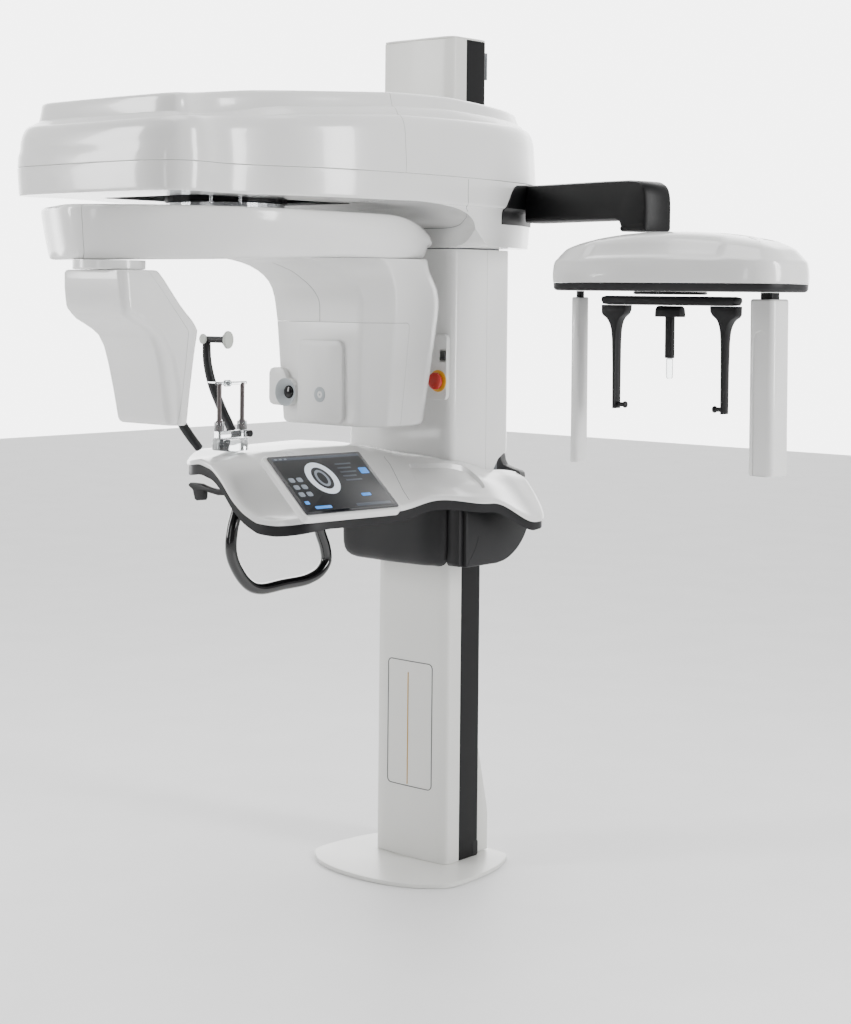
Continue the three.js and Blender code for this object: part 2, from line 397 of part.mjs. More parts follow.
// hand grip loop
{
  const p = spline([[0, -790, 1180], [0, -804, 1092], [0, -824, 1028], [0, -826, 968], [0, -798, 914], [0, -758, 876], [0, -718, 863], [0, -633, 866], [0, -537, 871], [0, -488, 888], [0, -466, 914], [0, -470, 950], [0, -492, 1000], [0, -510, 1060], [0, -512, 1182]], 34);
  put('hand_grip', outward(sweep(p, 15.5, 10, 1, [1, 0, 0])), GLOSSBLACK);
}
put('remote_hook', outward(sweep([[-50, -880, 1160], [-52, -882, 1120], [-50, -890, 1108], [-30, -905, 1106], [-20, -910, 1125]], 9, 8, 1, [0.3, 0.3, 1])), GREY);
put('chin_rest_base', slab(roundRectPts(-38, -872, 38, -796, 16, 2), 1241.4, 1275, 3), CLEAR);
put('bite_support', join(box(-14, -886, 1275.4, 14, -780, 1294), rod(0, -792, 1285, 0, -792, 1420, 6, 10), rod(0, -874, 1285, 0, -874, 1420, 6, 10), rod(0, -884, 1418, 0, -782, 1418, 5, 10), rod(2, -846, 1419, -78, -846, 1419, 4.5, 8)), CLEAR);

// temple supports: two curved arms, one each side of the mid-plane y = -848
const MY = -848;
function temple(sgn) {
  const y = MY + sgn * 84, yi = MY + sgn * 64;
  const p = spline([[-36, yi, 1250], [-60, MY + sgn * 77, 1284], [-110, y, 1345], [-148, y, 1410], [-168, y, 1470], [-172, y, 1532]], 14);
  const arm = outward(sweep(p, [11, 12, 12, 12, 12, 12, 12, 12, 12, 12, 12, 12, 12, 11, 10], 10, 1.0, [0, 1, 0]));
  const cross = outward(sweep([[-176, y, 1530], [-92, y, 1530]], 9, 8, 1, [0, 0, 1]));
  return join(arm, cross);
}
put('temple_arm_near', temple(-1), GREY);
put('temple_arm_far', temple(1), GREY);
function pad(sgn) {
  const y = MY + sgn * 84;
  return rod(-90, y - sgn * 9.4, 1530, -90, y - sgn * 19, 1530, 24, 18);
}
put('temple_pad_near', pad(-1), PAD);
put('temple_pad_far', pad(1), PAD);

// ================================================================ cephalometric unit below the head
const CX = 934, CY = -165;
{
  const bar = join(prism(circle(CX, CY, 95, 24), 1664, 1671.7), box(CX - 206, CY - 22, 1636, CX + 206, CY + 22, 1660), prism(circle(CX, CY, 40, 16), 1650, 1668));
  put('craniostat_bar', bar, BLACK);
}
function ear(s) {
  const X = v => CX + s * v;
  const prof = [[X(206), 1626.5], [X(136), 1626.5], [X(136), 1618], [X(150), 1606], [X(158), 1588], [X(162), 1555], [X(163), 1363], [X(172), 1363], [X(174), 1556], [X(180), 1584], [X(192), 1602], [X(206), 1612]];
  const arm = outward(extrudeY(prof, CY - 16, CY + 16));
  const top = box(CX + (s > 0 ? 132 : -208), CY - 20, 1626, CX + (s > 0 ? 208 : -132), CY + 20, 1635.7);
  return join(arm, top, rod(X(166), CY, 1374, X(136), CY, 1374, 7, 10), rod(X(140), CY, 1374, X(133), CY, 1374, 10, 10));
}
put('ear_arm_inner', ear(-1), BLACK);
put('ear_arm_outer', ear(1), BLACK);
put('nasion_support', join(outward(extrudeX([[-15, -14], [15, -14], [15, 0], [13, 7.5], [7.5, 13], [0, 15], [-7.5, 13], [-13, 7.5], [-15, 0]].map(([y, z]) => [y + CY, z + 1620]), CX - 38, CX + 38)), box(CX - 11, CY - 9, 1498, CX + 11, CY + 9, 1610), rod(CX, CY, 1500, CX, CY, 1446, 9, 12)), GREY);
put('ceph_collimator', join(slab(roundRectPts(640, -200, 666, -150, 8, 2), 1215, 1655, 3), prism(roundRectPts(646, -185, 660, -165, 3, 1), 1650, 1671.6)), WHITE);
put('ceph_sensor', join(slab(roundRectPts(1190, -200, 1262, -118, 14, 2), 1215, 1655, 4), prism(roundRectPts(1210, -180, 1245, -140, 6, 1), 1650, 1671.6)), WHITE);

export default group;
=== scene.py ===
# Panoramic dental x-ray machine with a cephalometric arm: the visual model.
# Built in millimetres in the row frame and scaled to metres.
import math
import bpy, bmesh
import numpy as np
from mathutils import Vector, Matrix
from mathutils.geometry import delaunay_2d_cdt

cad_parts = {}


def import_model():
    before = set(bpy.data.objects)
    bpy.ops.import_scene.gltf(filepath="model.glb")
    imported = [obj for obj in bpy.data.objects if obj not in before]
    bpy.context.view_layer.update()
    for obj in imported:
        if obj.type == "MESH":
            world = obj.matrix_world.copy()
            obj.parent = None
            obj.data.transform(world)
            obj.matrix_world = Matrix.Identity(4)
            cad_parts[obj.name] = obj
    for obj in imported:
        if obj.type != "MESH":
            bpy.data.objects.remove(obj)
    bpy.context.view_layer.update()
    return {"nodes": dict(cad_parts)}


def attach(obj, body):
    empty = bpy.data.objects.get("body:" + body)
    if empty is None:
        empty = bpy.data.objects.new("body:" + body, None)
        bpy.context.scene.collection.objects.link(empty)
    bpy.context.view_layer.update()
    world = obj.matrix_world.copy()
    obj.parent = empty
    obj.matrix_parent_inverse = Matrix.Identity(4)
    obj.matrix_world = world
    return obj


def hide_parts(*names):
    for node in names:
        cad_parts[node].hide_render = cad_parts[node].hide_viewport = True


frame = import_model()
SC = bpy.context.scene
COL = SC.collection
MM = 0.001

# ------------------------------------------------------------------ camera
cam_d = bpy.data.cameras.new("camera")
cam = bpy.data.objects.new("camera", cam_d)
COL.objects.link(cam)
SC.camera = cam
az, pitch, roll = math.radians(41.09816), 0.01005, 0.00997
fwd = Vector((-math.sin(az) * math.cos(pitch), math.cos(az) * math.cos(pitch), -math.sin(pitch)))
rgt = Vector((math.cos(az), math.sin(az), 0))
upv = rgt.cross(fwd)
r2 = rgt * math.cos(roll) + upv * math.sin(roll)
u2 = upv * math.cos(roll) - rgt * math.sin(roll)
M = Matrix((r2, u2, -fwd)).transposed().to_4x4()
M.translation = Vector((3.77848, -4.37818, 1.66269))
cam.matrix_world = M
cam_d.sensor_width = 36
cam_d.lens = 68.706
cam_d.shift_x = -0.00205
cam_d.shift_y = -0.195
cam_d.clip_end = 100

# ------------------------------------------------------------------ materials
def material(name, color, rough, metal=0.0, grain=60.0, rvar=0.05, bump=0.02, cvar=0.015, coat=0.0, transmission=0.0, ior=1.5, stretch=(1, 1, 1), alpha=None, spec=0.5):
    m = bpy.data.materials.new(name)
    m.use_nodes = True
    nt = m.node_tree
    b = nt.nodes["Principled BSDF"]
    tc = nt.nodes.new("ShaderNodeTexCoord")
    mp = nt.nodes.new("ShaderNodeMapping")
    mp.inputs["Scale"].default_value = stretch
    nt.links.new(tc.outputs["Object"], mp.inputs["Vector"])
    no = nt.nodes.new("ShaderNodeTexNoise")
    no.inputs["Scale"].default_value = grain
    no.inputs["Detail"].default_value = 4
    nt.links.new(mp.outputs["Vector"], no.inputs["Vector"])
    big = nt.nodes.new("ShaderNodeTexNoise")
    big.inputs["Scale"].default_value = 3.0
    big.inputs["Detail"].default_value = 2
    nt.links.new(mp.outputs["Vector"], big.inputs["Vector"])
    rr = nt.nodes.new("ShaderNodeMapRange")
    rr.inputs["To Min"].default_value = max(0.02, rough - rvar)
    rr.inputs["To Max"].default_value = min(1.0, rough + rvar)
    nt.links.new(no.outputs["Fac"], rr.inputs["Value"])
    nt.links.new(rr.outputs["Result"], b.inputs["Roughness"])
    cr = nt.nodes.new("ShaderNodeValToRGB")
    c0 = [max(0.0, c * (1 - cvar)) for c in color]
    c1 = [min(1.0, c * (1 + cvar)) for c in color]
    cr.color_ramp.elements[0].position, cr.color_ramp.elements[0].color = 0.35, (*c0, 1)
    cr.color_ramp.elements[1].position, cr.color_ramp.elements[1].color = 0.65, (*c1, 1)
    nt.links.new(big.outputs["Fac"], cr.inputs["Fac"])
    nt.links.new(cr.outputs["Color"], b.inputs["Base Color"])
    bp = nt.nodes.new("ShaderNodeBump")
    bp.inputs["Strength"].default_value = bump
    bp.inputs["Distance"].default_value = 0.001
    nt.links.new(no.outputs["Fac"], bp.inputs["Height"])
    nt.links.new(bp.outputs["Normal"], b.inputs["Normal"])
    b.inputs["Metallic"].default_value = metal
    b.inputs["IOR"].default_value = ior
    b.inputs["Specular IOR Level"].default_value = spec
    b.inputs["Coat Weight"].default_value = coat
    b.inputs["Coat Roughness"].default_value = 0.06
    b.inputs["Transmission Weight"].default_value = transmission
    if alpha is not None:
        b.inputs["Alpha"].default_value = alpha
    return m

GW = material("gloss_white_plastic", (0.82, 0.82, 0.81), 0.20, grain=45, rvar=0.03, bump=0.010, coat=0.5)
GW2 = material("satin_white_plastic", (0.78, 0.78, 0.77), 0.38, grain=220, rvar=0.05, bump=0.05, coat=0.1)
WARM = material("column_powder_coat", (0.76, 0.76, 0.73), 0.34, grain=420, rvar=0.06, bump=0.08, coat=0.12)
BLK = material("satin_black_paint", (0.0035, 0.0035, 0.004), 0.46, grain=500, rvar=0.06, bump=0.10, spec=0.25)
DRK = material("charcoal_moulding", (0.010, 0.010, 0.011), 0.44, grain=600, rvar=0.07, bump=0.14, spec=0.3)
TRIM = material("dark_grey_trim", (0.009, 0.009, 0.010), 0.45, grain=500, rvar=0.06, bump=0.10, spec=0.3)
GBK = material("gloss_black_plastic", (0.003, 0.003, 0.0035), 0.12, grain=60, rvar=0.03, bump=0.01, coat=0.6)
STL = material("turned_steel", (0.62, 0.63, 0.65), 0.26, metal=1.0, grain=90, rvar=0.08, bump=0.03, stretch=(1, 1, 14))
FRM = material("zinc_frame", (0.22, 0.23, 0.24), 0.45, metal=0.6, grain=160, rvar=0.1, bump=0.06)
ACR = material("clear_acrylic", (0.93, 0.96, 0.97), 0.05, grain=30, rvar=0.02, bump=0.006, transmission=0.96, ior=1.49, cvar=0.005)
PAD = material("pale_grey_pad", (0.52, 0.54, 0.50), 0.6, grain=300, rvar=0.08, bump=0.2)
RED = material("red_button", (0.50, 0.022, 0.012), 0.26, grain=80, rvar=0.04, bump=0.01, coat=0.3)
YEL = material("yellow_ring", (0.80, 0.42, 0.03), 0.35, grain=90, rvar=0.05, bump=0.02)
GLS = material("screen_black_glass", (0.006, 0.007, 0.010), 0.06, grain=20, rvar=0.02, bump=0.002, coat=1.0)
GOLD = material("gold_print", (0.62, 0.36, 0.04), 0.45, metal=0.0, grain=200, bump=0.02)
SEAM = material("cover_seam_shadow", (0.16, 0.16, 0.16), 0.7, grain=300, bump=0.03)
INK = material("dark_print", (0.05, 0.05, 0.055), 0.5, grain=300, bump=0.03)
ROD = material("dark_rod", (0.10, 0.085, 0.085), 0.3, metal=0.5, grain=200, bump=0.03)
LENS = material("camera_lens", (0.004, 0.004, 0.005), 0.16, grain=20, rvar=0.02, bump=0.0, coat=0.15, spec=0.3)
GREYP = material("grey_insert", (0.40, 0.43, 0.45), 0.35, grain=200, bump=0.04)
MGR = material("mid_grey_moulding", (0.11, 0.11, 0.11), 0.46, grain=500, rvar=0.06, bump=0.10, spec=0.35)
FLOOR = material("pale_floor", (0.86, 0.86, 0.86), 0.55, grain=30, rvar=0.04, bump=0.01)

def glow(name, color, strength):
    m = bpy.data.materials.new(name)
    m.use_nodes = True
    nt = m.node_tree
    b = nt.nodes["Principled BSDF"]
    tc = nt.nodes.new("ShaderNodeTexCoord")
    no = nt.nodes.new("ShaderNodeTexNoise")
    no.inputs["Scale"].default_value = 240
    nt.links.new(tc.outputs["Object"], no.inputs["Vector"])
    cr = nt.nodes.new("ShaderNodeValToRGB")
    cr.color_ramp.elements[0].color = (*[c * 0.85 for c in color], 1)
    cr.color_ramp.elements[1].color = (*color, 1)
    nt.links.new(no.outputs["Fac"], cr.inputs["Fac"])
    nt.links.new(cr.outputs["Color"], b.inputs["Emission Color"])
    nt.links.new(cr.outputs["Color"], b.inputs["Base Color"])
    b.inputs["Emission Strength"].default_value = strength
    b.inputs["Roughness"].default_value = 0.3
    return m

UI_BLUE = glow("screen_blue", (0.04, 0.24, 0.70), 0.7)
UI_WHITE = glow("screen_white", (0.62, 0.68, 0.74), 0.6)
UI_GREY = glow("screen_grey", (0.07, 0.08, 0.10), 0.3)
UI_SOFT = glow("screen_soft", (0.20, 0.23, 0.27), 0.4)
UI_DARK = glow("screen_dark", (0.004, 0.005, 0.007), 0.2)

# ------------------------------------------------------------------ mesh tools
def obj(name, verts, faces, mat, smooth=32):
    me = bpy.data.meshes.new(name)
    me.from_pydata((np.asarray(verts, float) * MM).tolist(), [], [list(map(int, f)) for f in faces])
    me.validate()
    me.update()
    ob = bpy.data.objects.new(name, me)
    COL.objects.link(ob)
    if mat is not None:
        me.materials.append(mat)
    fix_normals(me)
    if smooth:
        shade(ob, smooth)
    return ob

def fix_normals(me):
    bm = bmesh.new()
    bm.from_mesh(me)
    bmesh.ops.remove_doubles(bm, verts=bm.verts, dist=1e-6)
    bmesh.ops.recalc_face_normals(bm, faces=bm.faces)
    if bm.calc_volume(signed=True) < 0:
        bmesh.ops.reverse_faces(bm, faces=bm.faces)
    bm.to_mesh(me)
    bm.free()

def shade(ob, deg=32):
    me = ob.data
    me.shade_smooth()
    me.set_sharp_from_angle(angle=math.radians(deg))

def loft(rings, cap0=True, cap1=True):
    R = [np.asarray(r, float) for r in rings]
    n = len(R[0])
    V = np.concatenate(R)
    F = []
    for k in range(len(R) - 1):
        a = k * n
        for i in range(n):
            j = (i + 1) % n
            F.append((a + i, a + j, a + n + j, a + n + i))
    if cap0:
        F.append(tuple(range(n - 1, -1, -1)))
    if cap1:
        F.append(tuple(range((len(R) - 1) * n, len(R) * n)))
    return V, F

def lobj(name, rings, mat, smooth=32, **k):
    V, F = loft(rings, **k)
    return obj(name, V, F, mat, smooth)

def boolean(ob, tool, op="DIFFERENCE", keep=False):
    for o in (ob, tool):
        bm = bmesh.new()
        bm.from_mesh(o.data)
        bmesh.ops.triangulate(bm, faces=[f for f in bm.faces if len(f.verts) > 4])
        bm.to_mesh(o.data)
        bm.free()
    for solver in ("MANIFOLD", "EXACT"):
        m = ob.modifiers.new("b", "BOOLEAN")
        m.operation = op
        m.solver = solver
        m.object = tool
        dg = bpy.context.evaluated_depsgraph_get()
        dg.update()
        me = bpy.data.meshes.new_from_object(ob.evaluated_get(dg))
        ob.modifiers.clear()
        if len(me.polygons):
            break
    old = ob.data
    ob.data = me
    bpy.data.meshes.remove(old)
    if not keep:
        bpy.data.objects.remove(tool, do_unlink=True)
    return ob

def copy(ob, name):
    o = ob.copy()
    o.data = ob.data.copy()
    o.name = name
    COL.objects.link(o)
    return o

def soften(ob, width=1.2, seg=2, deg=35):
    b = ob.modifiers.new("edge", "BEVEL")
    b.width = width * MM
    b.segments = seg
    b.limit_method = "ANGLE"
    b.angle_limit = math.radians(deg)
    b.use_clamp_overlap = True
    b.harden_normals = False
    shade(ob, 40)
    return ob

def boxv(x0, y0, z0, x1, y1, z1):
    V = [(x, y, z) for z in (z0, z1) for y in (y0, y1) for x in (x0, x1)]
    F = [(0, 2, 3, 1), (4, 5, 7, 6), (0, 1, 5, 4), (2, 6, 7, 3), (0, 4, 6, 2), (1, 3, 7, 5)]
    return V, F

def tbox(*a):
    V, F = boxv(*a)
    return obj("tool", V, F, None, 0)

def catmull(P, closed, per=16):
    P = np.asarray(P, float)
    n = len(P)
    out = []
    segs = n if closed else n - 1
    for i in range(segs):
        if closed:
            p = [P[(i - 1) % n], P[i], P[(i + 1) % n], P[(i + 2) % n]]
        else:
            a = P[i - 1] if i > 0 else 2 * P[0] - P[1]
            d = P[i + 2] if i + 2 < n else 2 * P[-1] - P[-2]
            p = [a, P[i], P[i + 1], d]
        t = [0]
        for q in range(3):
            t.append(t[-1] + max(np.linalg.norm(p[q + 1] - p[q]) ** 0.5, 1e-4))
        for s in np.linspace(t[1], t[2], per, endpoint=False):
            A1 = (t[1] - s) / (t[1] - t[0]) * p[0] + (s - t[0]) / (t[1] - t[0]) * p[1]
            A2 = (t[2] - s) / (t[2] - t[1]) * p[1] + (s - t[1]) / (t[2] - t[1]) * p[2]
            A3 = (t[3] - s) / (t[3] - t[2]) * p[2] + (s - t[2]) / (t[3] - t[2]) * p[3]
            B1 = (t[2] - s) / (t[2] - t[0]) * A1 + (s - t[0]) / (t[2] - t[0]) * A2
            B2 = (t[3] - s) / (t[3] - t[1]) * A2 + (s - t[1]) / (t[3] - t[1]) * A3
            out.append((t[2] - s) / (t[2] - t[1]) * B1 + (s - t[1]) / (t[2] - t[1]) * B2)
    if not closed:
        out.append(P[-1])
    return np.array(out)

def spaced(P, n, closed=False):
    Q = np.vstack([P, P[:1]]) if closed else P
    L = np.concatenate([[0], np.cumsum(np.linalg.norm(np.diff(Q, axis=0), axis=1))])
    t = np.linspace(0, L[-1], n, endpoint=not closed)
    return np.stack([np.interp(t, L, Q[:, k]) for k in range(Q.shape[1])], 1)

def outline(ctl, n):
    return spaced(catmull(ctl, True, 24), n, True)

def offs(p, o):
    a, b = np.roll(p, 1, 0), np.roll(p, -1, 0)
    d = b - a
    l = np.linalg.norm(d, axis=1, keepdims=True)
    return p + np.stack([-d[:, 1], d[:, 0]], 1) / l * o

def ringz(p, z):
    zz = np.full(len(p), float(z)) if not callable(z) else np.array([z(x, y) for x, y in p])
    return np.column_stack([p, zz])

def rrect(x0, y0, x1, y1, r, n=8):
    out = []
    for cx, cy, a0 in ((x1 - r, y0 + r, -90), (x1 - r, y1 - r, 0), (x0 + r, y1 - r, 90), (x0 + r, y0 + r, 180)):
        for i in range(n + 1):
            a = math.radians(a0 + 90 * i / n)
            out.append((cx + r * math.cos(a), cy + r * math.sin(a)))
    return np.array(out)

def circ(cx, cy, r, n=64):
    t = np.arange(n) * 2 * math.pi / n
    return np.column_stack([cx + r * np.cos(t), cy + r * np.sin(t)])

def rounded(name, pts, z0, z1, e, mat, seg=5, mtx=None, smooth=32):
    """upright slab with quarter-round edges"""
    R = []
    for k in range(seg + 1):
        a = math.pi / 2 * k / seg
        R.append(ringz(offs(pts, e * (1 - math.sin(a))), z0 + e * (1 - math.cos(a))))
    for k in range(seg, -1, -1):
        a = math.pi / 2 * k / seg
        R.append(ringz(offs(pts, e * (1 - math.sin(a))), z1 - e * (1 - math.cos(a))))
    V, F = loft(R)
    if mtx is not None:
        V = np.array([tuple(mtx @ Vector(v)) for v in V])
    return obj(name, V, F, mat, smooth)

def sweep(name, path, r, mat, n=24, flat=1.0, up=(0, 0, 1), dome=True, smooth=40):
    """bar along a path: r a number or a function of 0..1"""
    P = np.asarray(path, float)
    N = len(P)
    T = np.gradient(P, axis=0)
    T /= np.linalg.norm(T, axis=1, keepdims=True)
    rings = []
    up = np.asarray(up, float)
    ks = []
    if dome:
        ks += [(0, -math.sin(a), math.cos(a)) for a in (math.pi / 2 * 0.97, 1.2, 0.8, 0.4)]
    ks += [(i, 0, 1) for i in range(N)]
    if dome:
        ks += [(N - 1, math.sin(a), math.cos(a)) for a in (0.4, 0.8, 1.2, math.pi / 2 * 0.97)]
    for i, ext, sc in ks:
        rad = r(i / (N - 1)) if callable(r) else r
        s = np.cross(T[i], up)
        s /= np.linalg.norm(s)
        u = np.cross(s, T[i])
        t = np.arange(n) * 2 * math.pi / n
        c = P[i] + T[i] * rad * ext * 0.55
        rings.append(c + np.outer(np.cos(t) * rad * sc, s) + np.outer(np.sin(t) * rad * flat * sc, u))
    return lobj(name, rings, mat, smooth)

def lathe(name, prof, origin, axis, mat, n=64, smooth=32):
    """prof [(r, h), ...] turned about axis from origin"""
    ax = Vector(axis).normalized()
    ref = Vector((0, 0, 1)) if abs(ax.z) < 0.9 else Vector((1, 0, 0))
    e1 = ax.cross(ref).normalized()
    e2 = ax.cross(e1)
    o = Vector(origin)
    R = []
    for r, h in prof:
        R.append([tuple(o + ax * h + (e1 * math.cos(2 * math.pi * i / n) + e2 * math.sin(2 * math.pi * i / n)) * max(r, 0.01)) for i in range(n)])
    if tuple(prof[0]) == tuple(prof[-1]):
        m = len(R) - 1
        V = [p for q in R[:m] for p in q]
        F = [(a * n + i, a * n + (i + 1) % n, ((a + 1) % m) * n + (i + 1) % n, ((a + 1) % m) * n + i) for a in range(m) for i in range(n)]
        return obj(name, V, F, mat, smooth)
    return lobj(name, R, mat, smooth)

def extr(name, prof, axis, a0, a1, mat, e=0.0, smooth=32):
    """closed 2D profile extruded along 'x' (profile is y,z) or 'y' (profile is x,z), edges rounded by e"""
    p = np.asarray(prof, float)
    area = 0.5 * np.sum(p[:, 0] * np.roll(p[:, 1], -1) - np.roll(p[:, 0], -1) * p[:, 1])
    if area < 0:
        p = p[::-1]
    R = []
    seq = [(a0, e), (a0 + e * 0.3, e * 0.3), (a0 + e, 0), (a1 - e, 0), (a1 - e * 0.3, e * 0.3), (a1, e)] if e else [(a0, 0), (a1, 0)]
    for a, o in seq:
        q = offs(p, o) if o else p
        if axis == "x":
            R.append(np.column_stack([np.full(len(q), a), q[:, 0], q[:, 1]]))
        else:
            R.append(np.column_stack([q[:, 0], np.full(len(q), a), q[:, 1]]))
    return lobj(name, R, mat, smooth)

def table(t):
    X = [a for a, _ in t]
    Y = [b for _, b in t]
    return lambda v: float(np.interp(v, X, Y))

def smoothtab(t):
    """table with rounded corners"""
    X = np.array([a for a, _ in t], float)
    Y = np.array([b for _, b in t], float)
    xs = np.linspace(X[0], X[-1], 200)
    ys = np.interp(xs, X, Y)
    k = np.hanning(17)
    k /= k.sum()
    yp = np.convolve(np.pad(ys, 8, mode="edge"), k, mode="valid")
    return lambda v: float(np.interp(v, xs, yp))

def add(ob, body, *nodes, slot=None):
    if nodes:
        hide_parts(*nodes)
    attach(ob, body)
    return ob

# ================================================================== column
base = np.array([[0, -338], [90, -331], [172, -304], [226, -266], [252, -240], [262, -216], [266, -170], [262, -87], [246, 0], [223, 60], [203, 98], [190, 114], [168, 122], [0, 124], [-168, 122], [-190, 114], [-203, 98], [-223, 60], [-246, 0], [-262, -87], [-266, -170], [-262, -216], [-252, -240], [-226, -266], [-172, -304], [-90, -331]], float)
add(rounded("floor_plate", outline(base * np.array([0.999, 0.997]) + np.array([0, -1.0]), 200), 0, 12, 3.0, WARM), "column", "base_plate")

def arcfront(x0, x1, y, bulge, n=24):
    t = np.linspace(-1, 1, n)
    return [((x0 + x1) / 2 + (x1 - x0) / 2 * s, y - bulge * (1 - s * s)) for s in t]

colf = [(-137, -43), (-137, -88)] + [(-137 + 11 * (1 - math.cos(a)), -88 - 11 * math.sin(a)) for a in np.linspace(0.15, 1.35, 6)] + [(-110, -103.2)] + arcfront(-104, 104, -104.0, 3.0) + [(110, -103.2)] + [(137 - 11 * (1 - math.cos(a)), -88 - 11 * math.sin(a)) for a in np.linspace(1.35, 0.15, 6)] + [(137, -88), (137, -43)]
colf = np.array(colf)
add(lobj("column_front", [ringz(offs(colf, 1), 12.3), ringz(colf, 13.5), ringz(colf, 1200), ringz(colf, 2394.5), ringz(offs(colf, 1.2), 2396)], WARM, 24), "column", "column_front_profile")
colr = np.array([(-134, -42.7), (134, -42.7), (134, 40)] + [(134 - 10 * (1 - math.cos(a)), 40 + 11 * math.sin(a)) for a in np.linspace(0.2, 1.5, 6)] + [(-134 + 10 * (1 - math.cos(a)), 40 + 11 * math.sin(a)) for a in np.linspace(1.5, 0.2, 6)] + [(-134, 40)])
o = lobj("column_rear", [ringz(colr, 12.3), ringz(colr, 2396)], BLK, 24)
add(o, "column", "column_rear_profile")
capp = outline(np.array([(-136, -60), (-136, -88), (-126, -101), (0, -106.5), (126, -101), (136, -88), (136, -60), (136, 30), (128, 50), (0, 51), (-128, 50), (-136, 30)], float), 140)
add(rounded("column_cap", capp, 2396.3, 2402, 2.0, WARM), "column", "column_top_cap")
cov = np.array([(51.3, 14), (108, 14), (110, 20), (110, 120), (106, 145), (66, 318), (60, 332), (51.3, 340)], float)
add(soften(extr("rear_cover", cov, "x", -90, 120, WARM, e=3.0), 2.0), "column", "rear_cable_cover")
o = lobj("cable_clamp", [ringz(rrect(118, 22, 134, 48, 4), 14), ringz(rrect(117, 21, 135, 49, 4), 17), ringz(rrect(117, 21, 135, 49, 4), 52), ringz(rrect(118, 22, 134, 48, 4), 55)], DRK)
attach(o, "column")

# label plate: outline and a plain gold line only
lab = rrect(-89, 218, 84, 586, 15, 10)
lab = np.vstack([[lab[i] + (lab[(i + 1) % len(lab)] - lab[i]) * t / m for t in range(m)] for i in range(len(lab)) for m in [24 if (i + 1) % 11 == 0 else 1]])
def front_y(x):
    return -104.0 - 3.0 * (1 - min(1, (x / 104) ** 2))
def strip(name, loop_out, loop_in, y_off, th, mat):
    n = len(loop_out)
    V, F = [], []
    for lp, dy in ((loop_out, 0), (loop_out, -th), (loop_in, -th), (loop_in, 0)):
        for x, z in lp:
            V.append((x, front_y(x) - y_off + dy, z))
    for k in range(4):
        a, b = k * n, ((k + 1) % 4) * n
        for i in range(n):
            j = (i + 1) % n
            F.append((a + i, a + j, b + j, b + i))
    return obj(name, V, F, mat, 30)
o = strip("label_outline", lab, offs(lab, 2.2), 0.1, 1.0, INK)
add(o, "column", "label_plate")
gx = rrect(-9.6, 224, -7.2, 552, 1.0, 3)
o = extr("label_gold_line", [(x, z) for x, z in gx], "y", -108.6, -107.25, GOLD)
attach(o, "column")

# ================================================================== carriage
def chan(outer, inner):
    return np.array(list(outer) + list(inner)[::-1], float)
def corner(x, y, r, a0, a1, n=8):
    return [(x + r * math.cos(math.radians(a)), y + r * math.sin(math.radians(a))) for a in np.linspace(a0, a1, n)]
cfo = [(-203, -18.6)] + corner(-183, -148, 20, 180, 250, 9) + arcfront(-176, 176, -171.5, 5.0, 20) + corner(183, -148, 20, 290, 360, 9) + [(203, -18.6)]
cfi = [(-197, -18.6), (-197, -146), (-186, -161), (-100, -168), (0, -170), (100, -168), (186, -161), (197, -146), (197, -18.6)]
cf = chan(cfo, cfi)
add(soften(lobj("carriage_front", [ringz(cf, 1001), ringz(cf, 1400), ringz(cf, 1787.5)], GW, 26), 1.2), "carriage", "carriage_front_cover")
cro = [(203, -17.6), (203, 60)] + corner(178, 68, 25, 0, 90, 9) + [(0, 93)] + corner(-178, 68, 25, 90, 180, 9) + [(-203, 60), (-203, -17.6)]
cri = [(197, -17.6), (197, 68), (178, 87), (-178, 87), (-197, 68), (-197, -17.6)]
crr = chan(cro, cri)
ob = lobj("carriage_rear", [ringz(crr, 1120), ringz(crr, 1400), ringz(crr, 1787.5)], GW, 26)
# rounded notch at the rear lower corners
notch = extr("tool", [(20, 1100), (20, 1155), (40, 1182), (64, 1196), (110, 1200), (110, 1100)], "x", -260, 260, None)
ob = boolean(ob, notch)
add(soften(ob, 1.2), "carriage", "carriage_rear_cover")

hkp = [(112, 1108), (114, 1145), (122, 1164), (134, 1180), (146, 1190), (156, 1190), (160, 1172), (168, 1159), (194, 1151), (224, 1144), (231, 1139), (233, 1130), (230, 1119), (222, 1116), (200, 1121), (170, 1118), (160, 1106)]
o = extr("cable_hook", hkp, "y", 107, 131, MGR, e=2.5)
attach(o, "shelf")
# emergency stop panel, button and rocker
pan = rrect(120, 1360, 194, 1545, 14, 8)
V, F = [], []
o = extr("stop_panel", pan, "y", -186, -171, GW2, e=2.0)
pk = lathe("tool", [(0, -20), (17, -20), (17, 0), (0, 0)], (164, -168, 1413), (0, -1, 0), None)
pk2 = tbox(168, -195, 1468, 192, -177.5, 1502)
t1 = lathe("tool", [(0, 0), (17, 0), (17, 20), (0, 20)], (164, -175.5, 1413), (0, -1, 0), None)
bpy.data.objects.remove(pk, do_unlink=True)
o = boolean(o, t1)
o = boolean(o, pk2)
add(soften(o, 0.8), "carriage", "estop_panel")
o = lathe("stop_ring", [(17.5, 0), (30, 0), (31, 0.6), (31, 2.2), (30, 3.0), (26, 3.4), (18.5, 3.0), (17.5, 2.4), (17.5, 0)], (164, -186.1, 1413), (0, -1, 0), YEL)
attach(o, "carriage")
add(lathe("stop_button", [(0, 0), (15, 0), (15, 13.2), (19, 13.6), (23.2, 14.8), (24, 16), (24, 21), (23.3, 23.4), (21, 25.2), (16, 26.4), (8, 26.9), (0, 27)], (164, -181, 1413), (0, -1, 0), RED), "e_stop", "e_stop_button")
rk = np.array([(-190, 1473.5), (-188.6, 1472), (-181, 1472), (-181, 1498), (-186.6, 1498), (-188.2, 1496.8), (-187.6, 1485)], float)
